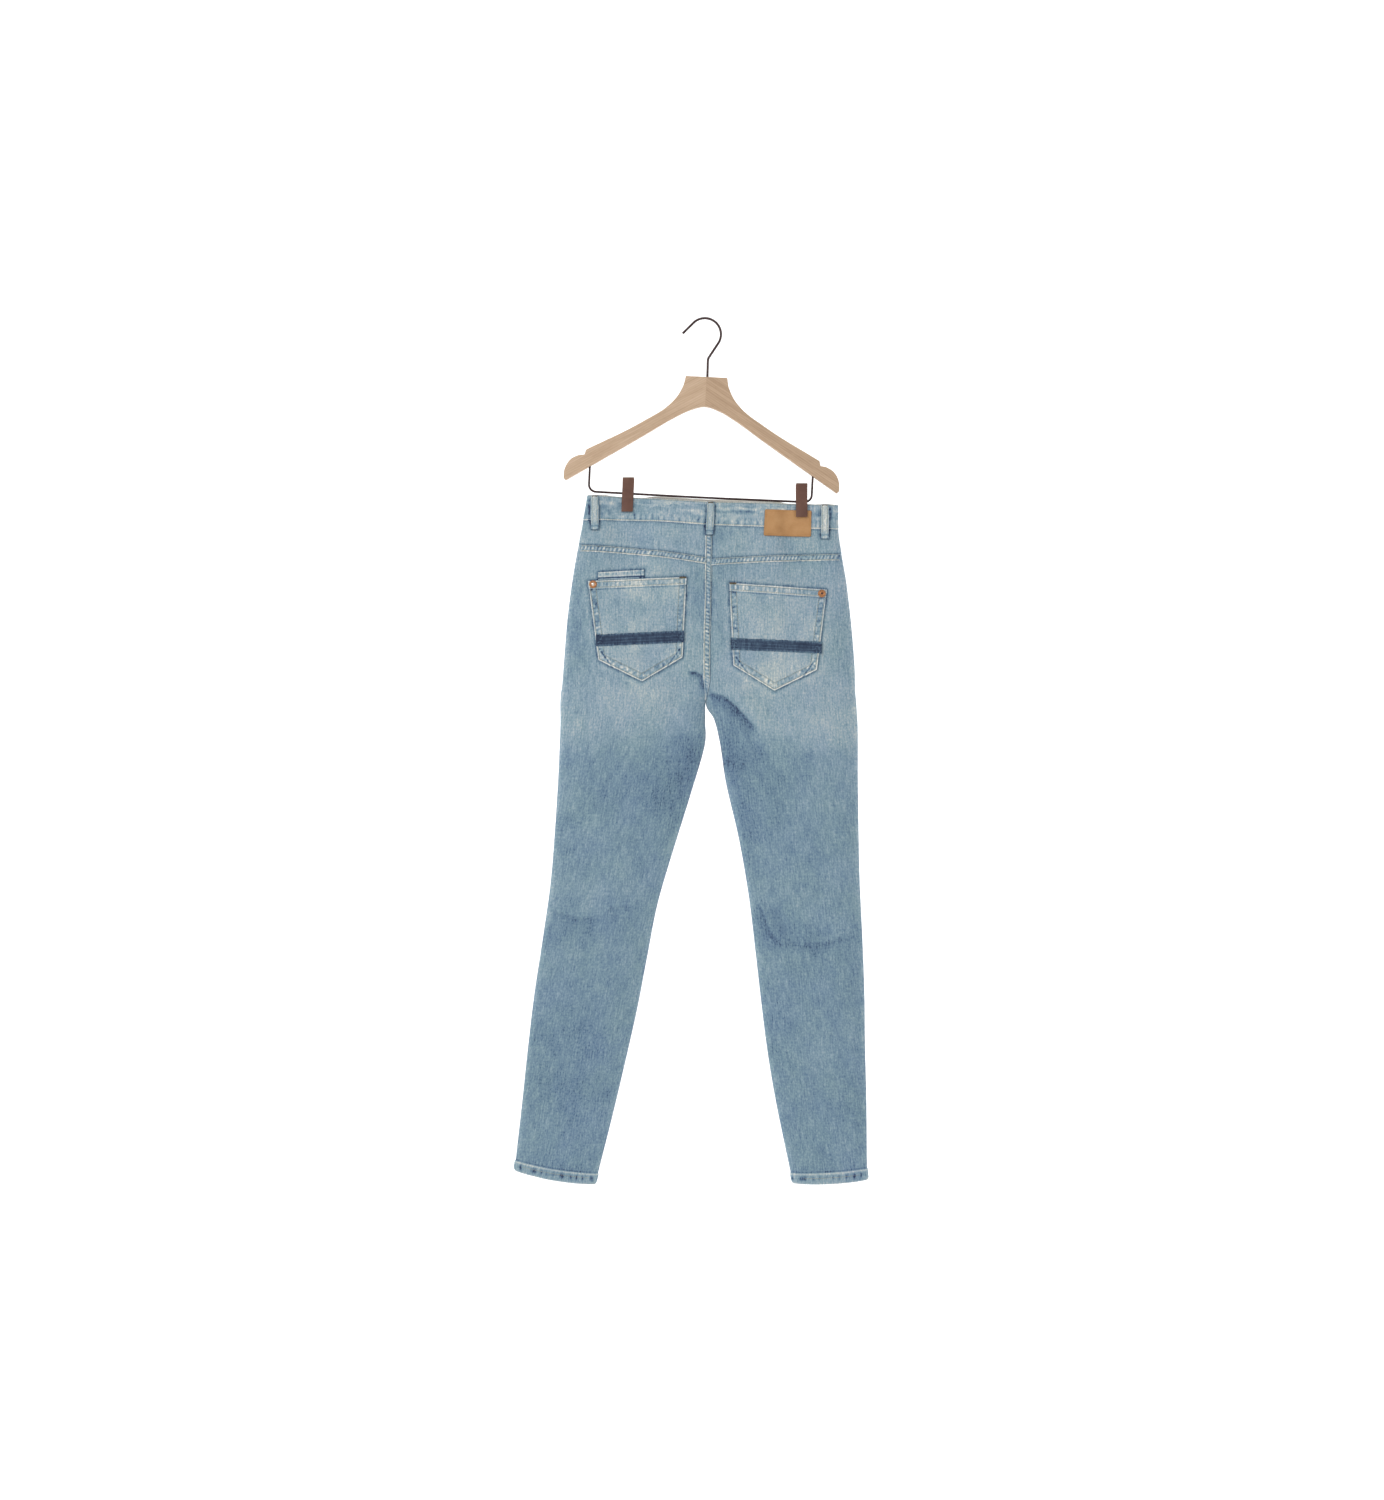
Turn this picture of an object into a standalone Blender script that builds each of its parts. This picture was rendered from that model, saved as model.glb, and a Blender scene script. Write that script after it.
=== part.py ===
"""Tapered five-pocket jeans hanging by the waistband from a wooden clip hanger.

Metres, +Z up. The origin is the inside top of the hanger's hook, where a rail or a peg holds it.
+X is the wearer's right, +Y is the front of the garment, and -Y is its back.
Every height is a drop: how far a point lies below the origin.

The garment is clipped a little to one side of the hanger's middle, so the hanger leans.
Each side of the jeans is a stack of sections. A section runs from the inner edge, which is the
centre seam down to the fork and the inseam below it, to the outer edge at the side seam. It is a
flattened oval, or half of one where the two sides still share a hollow above the fork.
"""

import math

import bmesh
import bpy
import numpy as np
from mathutils import Vector

MM = 0.001

# Driving sizes, in millimetres.
SEAM_GAP = 0.3
LYING_GAP = 0.8  # under a piece that lies on a curved panel
CLOTH_WALL = 1.6
WAISTBAND_WALL = 2.6
WAISTBAND_PROUD = 0.8
HEM_PROUD = 0.7
FLATNESS = 2.4  # exponent of the flattened ovals: 2 is an ellipse
FRONT_DEPTH_SHARE = 0.9
FRONT_WAIST_RISE = 5.0

HANGER_TILT = math.radians(2.8)
HANGER_ORIGIN = (5.9, 0.8)  # x and drop of the hanger's own origin
HANGER_THICKNESS = 12.0
HANGER_EDGE_ROUNDING = 1.8
WIRE_RADIUS = 1.65
HOLE_CLEARANCE = 0.45
# Half of the hanger's outline, in its own frame: x, drop, and whether the outline has a corner.
HANGER_OUTLINE = (
    ("neck_corner", 31.5, 86.3, True),
    ("neck_side", 35.5, 103, False),
    ("crook", 51, 127.5, False),
    ("arm_top", 91, 157, False),
    ("notch_lip", 177.5, 205.5, True),
    ("notch_floor", 179.5, 213, True),
    ("notch_end", 188, 214, True),
    ("shoulder", 200, 221, False),
    ("shoulder_end", 208.5, 236, False),
    ("tip", 209.5, 250, True),
    ("tip_under", 206, 253, True),
    ("arm_under", 91, 179.5, False),
    ("arch_side", 45, 149.5, False),
    ("arch_shoulder", 20, 136.5, False),
)
ARCH_DROP = 131.3
STEM_HOLE = (80.0, 99.0)  # drops of the hole's ends, for the hook's stem
BAR_HOLE = (217.0, 245.0)

HOOK_RADIUS = 24.5
HOOK_TIP = (-33.0, 21.0)
HOOK_SWEEP = (132, -32)  # degrees anticlockwise from +X
HOOK_NECK = ((6.6, 57.4), (5.2, 60.0), (4.7, 62.6), (4.5, 65.5))
HOOK_STEM_ENTRY = 84.0
HOOK_STEM_FOOT = 97.5

BAR_RADIUS = 1.5
BAR_HALF_SPAN = 169.5
BAR_DROP = 269.5
BAR_SAG = 1.0
BAR_TOP = 219.0
BAR_CORNER = 11.0
SPRING_HALF_LENGTH = 4.0
SPRING_GAP = 0.5
SPRING_WIRE = 1.2

LEFT, RIGHT = -1, 1
BACK, FRONT = -1, 1

# Sections of each side, top to bottom. The outer edge's x and drop, the inner edge's x and drop,
# half the front-to-back depth, how far the section is still open at its inner edge, and how far
# its middle rises above the straight line between its edges.
SECTION_COLUMNS = ("outer_x", "outer_drop", "inner_x", "inner_drop", "half_depth", "opening", "bow")
LEFT_SECTIONS = {
    "waist_top": (-178, 267, 6, 278, 12, 1, 0),
    "waist_seam": (-185, 307, 6, 315, 13, 1, 2.5),
    "yoke_seam": (-192, 342, 9, 363, 15, 1, 3.5),
    "hip": (-201, 393, 6, 424, 17, 1, 3),
    "seat": (-209, 454, 5, 487, 19, 0.97, 1),
    "under_seat": (-214, 515, 4, 550, 20, 0.8, 0),
    "fork": (-217, 553, 1, 586, 20, 0, 0),
    "thigh_top": (-220, 579, 1, 611, 20, 0, 0),
    "thigh_upper": (-220, 617, 0, 649, 19, 0, 0),
    "thigh": (-223, 693, -22, 725, 18, 0, 0),
    "thigh_lower": (-228, 773, -46, 802, 17, 0, 0),
    "knee": (-235, 858, -71, 887, 15, 0, 0),
    "under_knee": (-247, 943, -87, 968, 14, 0, 0),
    "calf": (-260, 1029, -103, 1051, 13, 0, 0),
    "shin": (-270, 1114, -122, 1135, 12, 0, 0),
    "ankle": (-279, 1199, -142, 1219, 11, 0, -1),
    "hem_stitch": (-288, 1278, -162, 1298, 10, 0, -3),
    "hem": (-289, 1292, -165, 1311, 10, 0, -4),
}
RIGHT_SECTIONS = {
    "waist_top": (202, 282, 6, 278, 12, 1, 0),
    "waist_seam": (203, 321, 6, 315, 13, 1, 0),
    "yoke_seam": (208, 356, 9, 364, 15, 1, 1.5),
    "hip": (216, 404, 6, 424, 17, 1, 1),
    "seat": (223, 465, 5, 487, 19, 0.97, 0),
    "under_seat": (228, 527, 4, 550, 20, 0.8, 0),
    "fork": (229, 563, 3, 586, 20, 0, 0),
    "thigh_top": (231, 588, 13, 609, 20, 0, 0),
    "thigh_upper": (233, 626, 21, 647, 19, 0, 0),
    "thigh": (233, 687, 32, 706, 18, 0, 0),
    "thigh_lower": (234, 770, 51, 788, 17, 0, 0),
    "knee": (236, 857, 66, 874, 15, 0, 0),
    "under_knee": (240, 942, 76, 956, 14, 0, 0),
    "calf": (243, 1023, 85, 1035, 13, 0, 0),
    "shin": (244, 1105, 95, 1114, 12, 0, 0),
    "ankle": (246, 1187, 109, 1196, 11, 0, -1),
    "hem_stitch": (247, 1290, 130, 1297, 10, 0, -2),
    "hem": (248, 1305, 132, 1310, 10, 0, -2),
}
STATION = {name: index for index, name in enumerate(LEFT_SECTIONS)}

# Each leg panel is made in lengths, so that every solid stays simple and open inside.
PANEL_LENGTHS = ("seat", "thigh", "calf")
PANEL_BREAKS = ("fork", "knee")

# The largest folds: the face, the curve's start, middle and end as x and drop, the half width,
# and the height, which is negative for a trough.
FOLDS = {
    "fork_right": (BACK, (4, 577), (34, 584), (78, 636), 11, -4.5),
    "fork_right_ridge": (BACK, (16, 556), (52, 574), (100, 622), 14, 3.0),
    "fork_left": (BACK, (-24, 548), (-40, 572), (-62, 622), 14, -2.5),
    "knee_back_high": (BACK, (84, 884), (116, 908), (152, 952), 13, -3.0),
    "knee_back_low": (BACK, (160, 930), (198, 938), (236, 934), 12, -2.5),
    "left_knee_back": (BACK, (-232, 900), (-190, 916), (-140, 910), 13, -2.0),
    "fork_front_left": (FRONT, (-4, 574), (-52, 588), (-108, 574), 13, -3.0),
    "fork_front_right": (FRONT, (12, 576), (60, 592), (118, 582), 13, -3.0),
    "whisker_left": (FRONT, (-46, 520), (-104, 528), (-166, 508), 12, -2.0),
    "whisker_right": (FRONT, (52, 520), (110, 534), (176, 520), 12, -2.0),
    "knee_front_left": (FRONT, (-228, 872), (-176, 894), (-112, 886), 14, -2.5),
    "knee_front_right": (FRONT, (98, 880), (150, 896), (214, 880), 14, -2.5),
}

# Each clip's x, the drops of its top and its lower lip, and its lean in degrees.
CLIPS = {"left": (-117, 241, 293, 2.4), "right": (147, 250, 301, 0.0)}
CLIP_WIDTH = 17.5
CLIP_PLATE = 2.0
# A jaw's profile: the share of the way from the clip's top to its lip, and how far it stands
# from the bar's plane. Below these it bears on the cloth.
JAW_PROFILE = ((0.0, 8.5), (0.18, 7.6), (0.4, 5.2), (0.52, 4.6))
JAW_BEARING = (0.72, 0.86, 0.95, 1.0)
JAW_LIP_TURN = 1.0
JAW_CLEARANCE = 0.6
CLIPPED_HALF_DEPTH = 3.6
PINCH_HALF_WIDTH = 33.0
PINCH_REACH = 75.0

# Patch pockets: the side, then x and drop of the top outer, top inner, bottom outer, tip and
# bottom inner corners.
POCKETS = {
    "left": (LEFT, (-178, 398), (-27, 392), (-162, 519), (-95, 552), (-33, 515)),
    "right": (RIGHT, (186, 411), (36, 401), (170, 534), (105, 566), (42, 527)),
}
POCKET_WALL = 1.4
POCKET_HEM = 13.0
POCKET_HEM_PROUD = 0.6
# The stitched strip across each pocket: x, top and bottom at its outer end, then at its inner end.
POCKET_BANDS = {
    "left": (-165, 480, 498, -31, 474, 492),
    "right": (177, 491, 509, 39, 485, 503),
}
BAND_WALL = 1.0
# The small pocket that shows above the left pocket: x and top drop of its two ends.
TICKET_POCKET = ((-162, 385), (-92, 381))
PATCH_CORNERS = ((91, 290), (162, 291), (161, 331), (89, 330))
PATCH_WALL = 1.2
RIVETS = {"left": (LEFT, -169, 404), "right": (RIGHT, 177, 418)}
RIVET_RADIUS = 6.0
# Turned profiles: the share of the piece's radius, and the height in millimetres.
RIVET_PROFILE = ((0, 2.2), (0.3, 2.2), (0.42, 1.5), (0.75, 1.7), (1, 0.9), (1, 0), (0, 0))

# Belt loops: the side, the face, and the x at the top and at the bottom.
BELT_LOOPS = {
    "back_left": (LEFT, BACK, -167, -167),
    "back_centre": (RIGHT, BACK, 9, 7),
    "back_right": (RIGHT, BACK, 182, 182),
    "front_left": (LEFT, FRONT, -92, -92),
    "front_right": (RIGHT, FRONT, 104, 104),
}
LOOP_WIDTH = 12.5
LOOP_WALL = 1.5
LOOP_TAIL = 14.0
LOOP_STAND_OFF = 1.8
LOOP_TOP_BACK = 0.5  # how far a loop starts below the waistband's top line
LOOP_TOP_FRONT = -3.5

WAISTBAND_DEPTH = 38.0
HALF_WAIST = 190.0
CENTRE_FRONT_X = 6.0
FLY_WIDTH = 38.0
FLY_LAP = 2.0
FLY_LENGTH = 150.0
FLY_CURVE_START = 0.7  # share of the way down where the edge turns towards the centre
FLY_FOOT_WIDTH = 3.0
FLY_WALL = 1.2
WAIST_LAP = 14.0
WAIST_UNDERLAP = 22.0
LAPPED_COLUMNS = 4  # columns of the waistband's path that lie over the underlap
BUTTON_RADIUS = 8.5
BUTTON_RISE = 2.0  # above the waistband's middle
BUTTON_OFF_CENTRE = 1.5
BUTTON_PROFILE = (
    (0, 3.6),
    (0.55, 3.5),
    (0.7, 3.0),
    (0.88, 3.6),
    (1, 2.6),
    (0.9, 1.5),
    (0.35, 1.2),
    (0.35, 0),
    (0, 0),
)
SCOOP_ACROSS = 0.48  # share of the front's width that the pocket opening takes at the waist
FACING_SET_BACK = 0.9


def spline(column, station):
    """A smooth curve through the column's values, read at any station."""
    last = len(column) - 1
    lower = np.clip(np.floor(station).astype(int), 0, last - 1)
    t = station - lower
    before = column[np.maximum(lower - 1, 0)]
    start = column[lower]
    end = column[lower + 1]
    after = column[np.minimum(lower + 2, last)]
    slope = (end - before) * t
    bend = (2 * before - 5 * start + 4 * end - after) * t**2
    twist = (3 * start - before - 3 * end + after) * t**3
    return 0.5 * (2 * start + slope + bend + twist)


def power_sine(cosine):
    """The oval's height where its width coordinate is cosine."""
    return (1 - np.clip(np.abs(cosine), 0, 1) ** FLATNESS) ** (1 / FLATNESS)


def pinch(x, drop):
    """How far the clips press the front and back together, from 0 to 1."""
    pressed = np.zeros_like(x)
    for clip_x, _, lip, _ in CLIPS.values():
        sideways = np.exp(-(((x - clip_x) / PINCH_HALF_WIDTH) ** 4))
        below = np.exp(-((np.maximum(drop - lip - 12, 0) / PINCH_REACH) ** 2))
        pressed = np.maximum(pressed, sideways * below)
    return pressed


def fold_height(face, x, drop):
    """Sum of the folds at points of one face."""
    total = np.zeros_like(x)
    for fold_face, start, middle, end, width, height in FOLDS.values():
        if fold_face != face:
            continue
        for t in np.linspace(0.05, 0.95, 13):
            # The curve passes through its middle point at t = 0.5.
            at = [
                a * (1 - t) * (1 - 2 * t) + m * 4 * t * (1 - t) + b * t * (2 * t - 1)
                for a, m, b in zip(start, middle, end)
            ]
            away = ((x - at[0]) ** 2 + (drop - at[1]) ** 2) / width**2
            here = height * math.sin(math.pi * t) * np.exp(-away)
            total = np.where(np.abs(here) > np.abs(total), here, total)
    return total


class Side:
    """The left or right side of the jeans."""

    def __init__(self, hand, sections):
        self.hand = hand
        rows = np.array(list(sections.values()), float)
        self.columns = dict(zip(SECTION_COLUMNS, rows.T))

    def read(self, column, station):
        return spline(self.columns[column], station)

    def opening(self, station):
        return np.clip(self.read("opening", station), 0, 1)

    def inner_cosine(self, station):
        return (1 - self.opening(station) ** FLATNESS) ** (1 / FLATNESS)

    def edges(self, station, out):
        """x of the inner and outer edges of a surface moved out from the garment's own."""
        outer = self.read("outer_x", station) + self.hand * out
        closed = 1 - self.opening(station)
        inner = self.read("inner_x", station) + self.hand * (SEAM_GAP / 2 - out * closed)
        return inner, outer

    def place(self, station, across, out):
        """x and drop at a share across the section, from 0 at the inner edge to 1."""
        inner, outer = self.edges(station, out)
        x = inner + (outer - inner) * across
        inner_drop = self.read("inner_drop", station)
        rise = self.read("bow", station) * 4 * across * (1 - across)
        return x, inner_drop + (self.read("outer_drop", station) - inner_drop) * across - rise

    def height(self, face, station, across, x, drop, out, seam=SEAM_GAP / 2):
        """How far a surface stands from the plane y = 0."""
        depth = self.read("half_depth", station)
        if face == FRONT:
            depth = depth * FRONT_DEPTH_SHARE
        depth = CLIPPED_HALF_DEPTH + (depth - CLIPPED_HALF_DEPTH) * (1 - pinch(x, drop))
        start = self.inner_cosine(station)
        rounding = power_sine(start - across * (start + 1))
        return seam + (depth + fold_height(face, x, drop) + out - seam) * rounding

    def columns_across(self, station, count, limit=1.0):
        """Shares across the section, closer together towards its folded edges."""
        start = self.inner_cosine(station)[:, None]
        first = np.arccos(start ** (FLATNESS / 2))
        angle = first + (math.pi - first) * np.linspace(0, 1, count)[None, :]
        cosine = np.sign(np.cos(angle)) * np.abs(np.cos(angle)) ** (2 / FLATNESS)
        return (start - cosine) / (start + 1) * limit

    def sheet(self, face, stations, across, out):
        """A grid of points, station by station, of a surface moved out by out."""
        station = np.broadcast_to(stations[:, None], across.shape)
        out = np.broadcast_to(np.asarray(out, float), across.shape)
        x, drop = self.place(station, across, out)
        y = self.height(face, station, across, x, drop, out)
        return points(x, face * y, drop)

    def locate(self, x, drop):
        """The station and the share across it of points on the garment."""
        station = np.interp(drop, self.columns["inner_drop"], np.arange(len(STATION)))
        for _ in range(8):
            inner, outer = self.edges(station, 0.0)
            across = np.clip((x - inner) / (outer - inner), 0, 1)
            here = self.place(station, across, 0.0)[1]
            slope = (self.place(station + 0.01, across, 0.0)[1] - here) / 0.01
            station = np.clip(station + (drop - here) / slope, 0, len(STATION) - 1)
        return station, across

    def lay(self, face, x, drop, out):
        """Points of a piece that lies on the garment, moved out by out."""
        station, across = self.locate(x, drop)
        y = self.height(face, station, across, x, drop, 0.0)
        return points(x, face * (y + out), drop)


def points(x, y, drop):
    """World points, in metres, from millimetres."""
    return np.stack(np.broadcast_arrays(x, y, -np.asarray(drop, float)), axis=-1) * MM


SIDES = {"left": Side(LEFT, LEFT_SECTIONS), "right": Side(RIGHT, RIGHT_SECTIONS)}
SIDE_NAME = {LEFT: "left", RIGHT: "right"}

# Finishes: base colour, roughness, metallic.
DENIM = ((0.36, 0.46, 0.54), 0.9, 0.0)
DARK_DENIM = ((0.12, 0.19, 0.27), 0.9, 0.0)
LEATHER = ((0.48, 0.26, 0.09), 0.55, 0.0)
COPPER = ((0.72, 0.38, 0.22), 0.35, 1.0)
BRONZE = ((0.07, 0.035, 0.03), 0.4, 0.8)
CLIP_BROWN = ((0.15, 0.06, 0.045), 0.4, 0.3)
BEECH = ((0.56, 0.38, 0.25), 0.6, 0.0)


def clear_scene():
    for obj in list(bpy.data.objects):
        bpy.data.objects.remove(obj, do_unlink=True)


def collection(name):
    made = bpy.data.collections.new(name)
    bpy.context.scene.collection.children.link(made)
    return made


def finished(obj, finish, home):
    """Gives an object its own material and puts it in its collection."""
    colour, roughness, metallic = finish
    material = bpy.data.materials.new(obj.name)
    material.use_nodes = True
    shader = material.node_tree.nodes["Principled BSDF"]
    shader.inputs["Base Color"].default_value = (*colour, 1)
    shader.inputs["Roughness"].default_value = roughness
    shader.inputs["Metallic"].default_value = metallic
    obj.data.materials.clear()
    obj.data.materials.append(material)
    home.objects.link(obj)
    return obj


def mesh_object(name, mesh, finish, home):
    mesh.shade_smooth()
    mesh.set_sharp_from_angle(angle=math.radians(40))
    return finished(bpy.data.objects.new(name, mesh), finish, home)


def wall(name, outer, inner, finish, home):
    """A closed wall between two grids of points that lie over each other."""
    rows, columns = outer.shape[:2]
    corners = np.concatenate([outer.reshape(-1, 3), inner.reshape(-1, 3)])
    index = np.arange(rows * columns).reshape(rows, columns)
    far = index + rows * columns

    def quads(a, b, c, d):
        return np.stack([a, b, c, d], axis=-1).reshape(-1, 4)

    faces = [
        quads(index[:-1, :-1], index[:-1, 1:], index[1:, 1:], index[1:, :-1]),
        quads(far[:-1, :-1], far[1:, :-1], far[1:, 1:], far[:-1, 1:]),
    ]
    for edge in (np.s_[0], np.s_[-1], np.s_[:, 0], np.s_[:, -1]):
        near_edge = index[edge]
        far_edge = far[edge]
        faces.append(quads(near_edge[:-1], near_edge[1:], far_edge[1:], far_edge[:-1]))
    mesh = bpy.data.meshes.new(name)
    mesh.from_pydata(corners.tolist(), [], np.concatenate(faces).tolist())
    shape = bmesh.new()
    shape.from_mesh(mesh)
    bmesh.ops.recalc_face_normals(shape, faces=shape.faces)
    shape.to_mesh(mesh)
    shape.free()
    return mesh_object(name, mesh, finish, home)


def between(low, high, per_station):
    """Stations from low to high, evenly within each whole one."""
    return np.linspace(low, high, max(2, round((high - low) * per_station) + 1))


def seam_step(side, station):
    """Half a seam gap, as a share of the stretch below a station."""
    drops = side.columns["inner_drop"]
    return SEAM_GAP / 2 / (drops[station + 1] - drops[station])


def leg_stations(side, top):
    """Stations down a leg panel, with a pair either side of the hem's step."""
    step = 0.02
    stitch = STATION["hem_stitch"]
    fork = STATION["fork"]
    first = top + seam_step(side, top)
    return np.concatenate([
        between(first, STATION["seat"], 2),
        between(STATION["seat"], fork, 3)[1:],
        between(fork, stitch - step, 2)[1:],
        between(stitch + step, STATION["hem"], 1),
    ])


def panel_lengths(side, stations):
    """A leg panel's stations, length by length, with a seam gap between each and the next."""
    breaks = [STATION[name] for name in PANEL_BREAKS]
    starts = [stations[0]] + [station + seam_step(side, station) for station in breaks]
    ends = [station - seam_step(side, station - 1) for station in breaks] + [stations[-1]]
    for name, start, end in zip(PANEL_LENGTHS, starts, ends):
        inside = stations[(stations > start) & (stations < end)]
        yield name, np.concatenate([[start], inside, [end]])


def hem_profile(stations):
    """How far the turned hem stands proud, in a column."""
    return np.where(stations > STATION["hem_stitch"], HEM_PROUD, 0.0)[:, None]


def back_panels(home):
    for name, side in SIDES.items():
        for length, stations in panel_lengths(side, leg_stations(side, STATION["yoke_seam"])):
            across = side.columns_across(stations, 14)
            proud = hem_profile(stations)
            outer = side.sheet(BACK, stations, across, proud)
            inner = side.sheet(BACK, stations, across, -CLOTH_WALL - proud)
            wall(f"back_panel_{name}_{length}", outer, inner, DENIM, home)


def yokes(home):
    for name, side in SIDES.items():
        top = STATION["waist_seam"]
        bottom = STATION["yoke_seam"]
        stations = between(top + seam_step(side, top), bottom - seam_step(side, top), 3)
        across = side.columns_across(stations, 12)
        outer = side.sheet(BACK, stations, across, 0.0)
        inner = side.sheet(BACK, stations, across, -CLOTH_WALL)
        wall("yoke_" + name, outer, inner, DENIM, home)


def scoop(stations):
    """The share across the front where its pocket opening cuts it."""
    t = np.clip((stations - STATION["waist_seam"]) / (STATION["hip"] - STATION["waist_seam"]), 0, 1)
    return 1 - SCOOP_ACROSS * np.sqrt(1 - t**2)


def scoop_stations(side):
    """Stations down the front pocket's opening, closer together towards its foot."""
    top = STATION["waist_seam"]
    first = top + seam_step(side, top)
    return first + (STATION["hip"] - 0.12 - first) * np.sin(np.linspace(0, math.pi / 2, 8))


def front_panels(home):
    for name, side in SIDES.items():
        below = leg_stations(side, STATION["waist_seam"])
        below = below[below >= STATION["hip"]]
        whole = np.concatenate([scoop_stations(side), [STATION["hip"] - 0.03], below])
        for length, stations in panel_lengths(side, whole):
            across = side.columns_across(stations, 12) * scoop(stations)[:, None]
            proud = hem_profile(stations)
            outer = side.sheet(FRONT, stations, across, proud)
            inner = side.sheet(FRONT, stations, across, -CLOTH_WALL - proud)
            wall(f"front_panel_{name}_{length}", outer, inner, DENIM, home)


def pocket_facings(home):
    """The cloth that shows inside each front pocket's opening."""
    for name, side in SIDES.items():
        stations = scoop_stations(side)
        start = scoop(stations)[:, None]
        width = np.abs(side.read("outer_x", stations) - side.read("inner_x", stations))[:, None]
        start = start + 2.5 * SEAM_GAP / width
        across = start + (1 - start) * np.sin(np.linspace(0, math.pi / 2, 7))[None, :]
        outer = side.sheet(FRONT, stations, across, -FACING_SET_BACK)
        inner = side.sheet(FRONT, stations, across, -FACING_SET_BACK - POCKET_WALL)
        wall("pocket_facing_" + name, outer, inner, DENIM, home)


def waist_shares(name):
    """Shares across one side of the waist, with more of them where its clip presses it."""
    side = SIDES[name]
    inner, outer = side.edges(np.array([0.5]), 0.0)
    clip = (CLIPS[name][0] - inner[0]) / (outer[0] - inner[0])
    spread = np.array([-38, -30, -23, -15, 0, 15, 23, 30, 38]) / abs(outer[0] - inner[0])
    even = np.sin(np.linspace(0, math.pi / 2, 11))
    kept = even[np.abs(even - clip) > spread[-1] + 0.02]
    near = clip + spread
    return np.sort(np.concatenate([kept, near[near < 0.985]]))


def waist_path():
    """Where the waistband runs: a side, a face and a share across, from lap to underlap."""
    lap = WAIST_LAP / HALF_WAIST
    underlap = WAIST_UNDERLAP / HALF_WAIST
    run = [(RIGHT, FRONT, lap), (RIGHT, FRONT, lap / 2)]
    run += [(LEFT, FRONT, 0.0), (LEFT, FRONT, underlap * 0.8)]
    run += [(LEFT, FRONT, share) for share in waist_shares("left") if share > underlap]
    run += [(LEFT, BACK, share) for share in waist_shares("left")[-2:0:-1]]
    run += [(RIGHT, BACK, share) for share in waist_shares("right")]
    run += [(RIGHT, FRONT, share) for share in waist_shares("right")[-2:0:-1]]
    run += [(LEFT, FRONT, 0.0), (LEFT, FRONT, underlap)]
    return run


def waist_rise(face, x, drop, down):
    """How far the front's upper edge stands above the back's. The clips hold it level."""
    if face == BACK:
        return np.zeros_like(x)
    return FRONT_WAIST_RISE * (1 - down) * (1 - pinch(x, drop))


def waistband(home):
    """One strip that goes round the waist and laps over itself at the centre front."""
    path = waist_path()
    rows = np.linspace(0, STATION["waist_seam"] - SEAM_GAP / WAISTBAND_DEPTH, 5)
    grids = []
    for out in (WAISTBAND_PROUD, WAISTBAND_PROUD - WAISTBAND_WALL):
        columns = []
        for number, (hand, face, share) in enumerate(path):
            side = SIDES[SIDE_NAME[hand]]
            across = np.full(len(rows), share)
            x, drop = side.place(rows, across, out)
            y = side.height(face, rows, across, x, drop, out, seam=0.0)
            if share >= 1:
                y = np.zeros_like(y)
            if number < LAPPED_COLUMNS:
                y = y + WAISTBAND_WALL + SEAM_GAP
            elif number == LAPPED_COLUMNS:
                y = y + 0.5 * WAISTBAND_WALL
            edge = 1 - share**6  # the front's rise dies out at the side folds
            columns.append(points(x, face * y, drop - waist_rise(face, x, drop, rows) * edge))
        grids.append(np.stack(columns, axis=1))
    wall("waistband", grids[0], grids[1], DENIM, home)


def pocket_grid(pocket, down, over):
    """x and drop over a pointed pocket: down from its top, over from its outer side."""
    _, top_outer, top_inner, bottom_outer, tip, bottom_inner = pocket
    down, over = np.meshgrid(down, over, indexing="ij")
    outer_x = top_outer[0] + (bottom_outer[0] - top_outer[0]) * down
    inner_x = top_inner[0] + (bottom_inner[0] - top_inner[0]) * down
    tip_share = (tip[0] - bottom_outer[0]) / (bottom_inner[0] - bottom_outer[0])
    top = top_outer[1] + (top_inner[1] - top_outer[1]) * over
    bottom = np.interp(over, (0, tip_share, 1), (bottom_outer[1], tip[1], bottom_inner[1]))
    return outer_x + (inner_x - outer_x) * over, top + (bottom - top) * down


def back_pockets(home):
    for name, pocket in POCKETS.items():
        side = SIDES[name]
        depth = pocket[4][1] - pocket[1][1]
        hem = POCKET_HEM / depth
        down = np.concatenate([[0, hem, hem + 0.01], np.linspace(hem + 0.12, 1, 7)])
        tip_share = (pocket[4][0] - pocket[3][0]) / (pocket[5][0] - pocket[3][0])
        over = np.concatenate([np.linspace(0, tip_share, 6), np.linspace(tip_share, 1, 5)[1:]])
        x, drop = pocket_grid(pocket, down, over)
        proud = np.where(down <= hem, POCKET_HEM_PROUD, 0.0)[:, None]
        outer = side.lay(BACK, x, drop, LYING_GAP + POCKET_WALL + proud)
        inner = side.lay(BACK, x, drop, LYING_GAP)
        wall("back_pocket_" + name, outer, inner, DENIM, home)


def strip_grid(corners, rows, columns):
    """x and drop over a four-sided piece, its corners going round from the top left."""
    down, over = np.meshgrid(np.linspace(0, 1, rows), np.linspace(0, 1, columns), indexing="ij")
    top_left, top_right, bottom_right, bottom_left = np.array(corners, float)
    over, down = over[..., None], down[..., None]
    top = top_left + (top_right - top_left) * over
    bottom = bottom_left + (bottom_right - bottom_left) * over
    grid = top + (bottom - top) * down
    return grid[..., 0], grid[..., 1]


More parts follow.
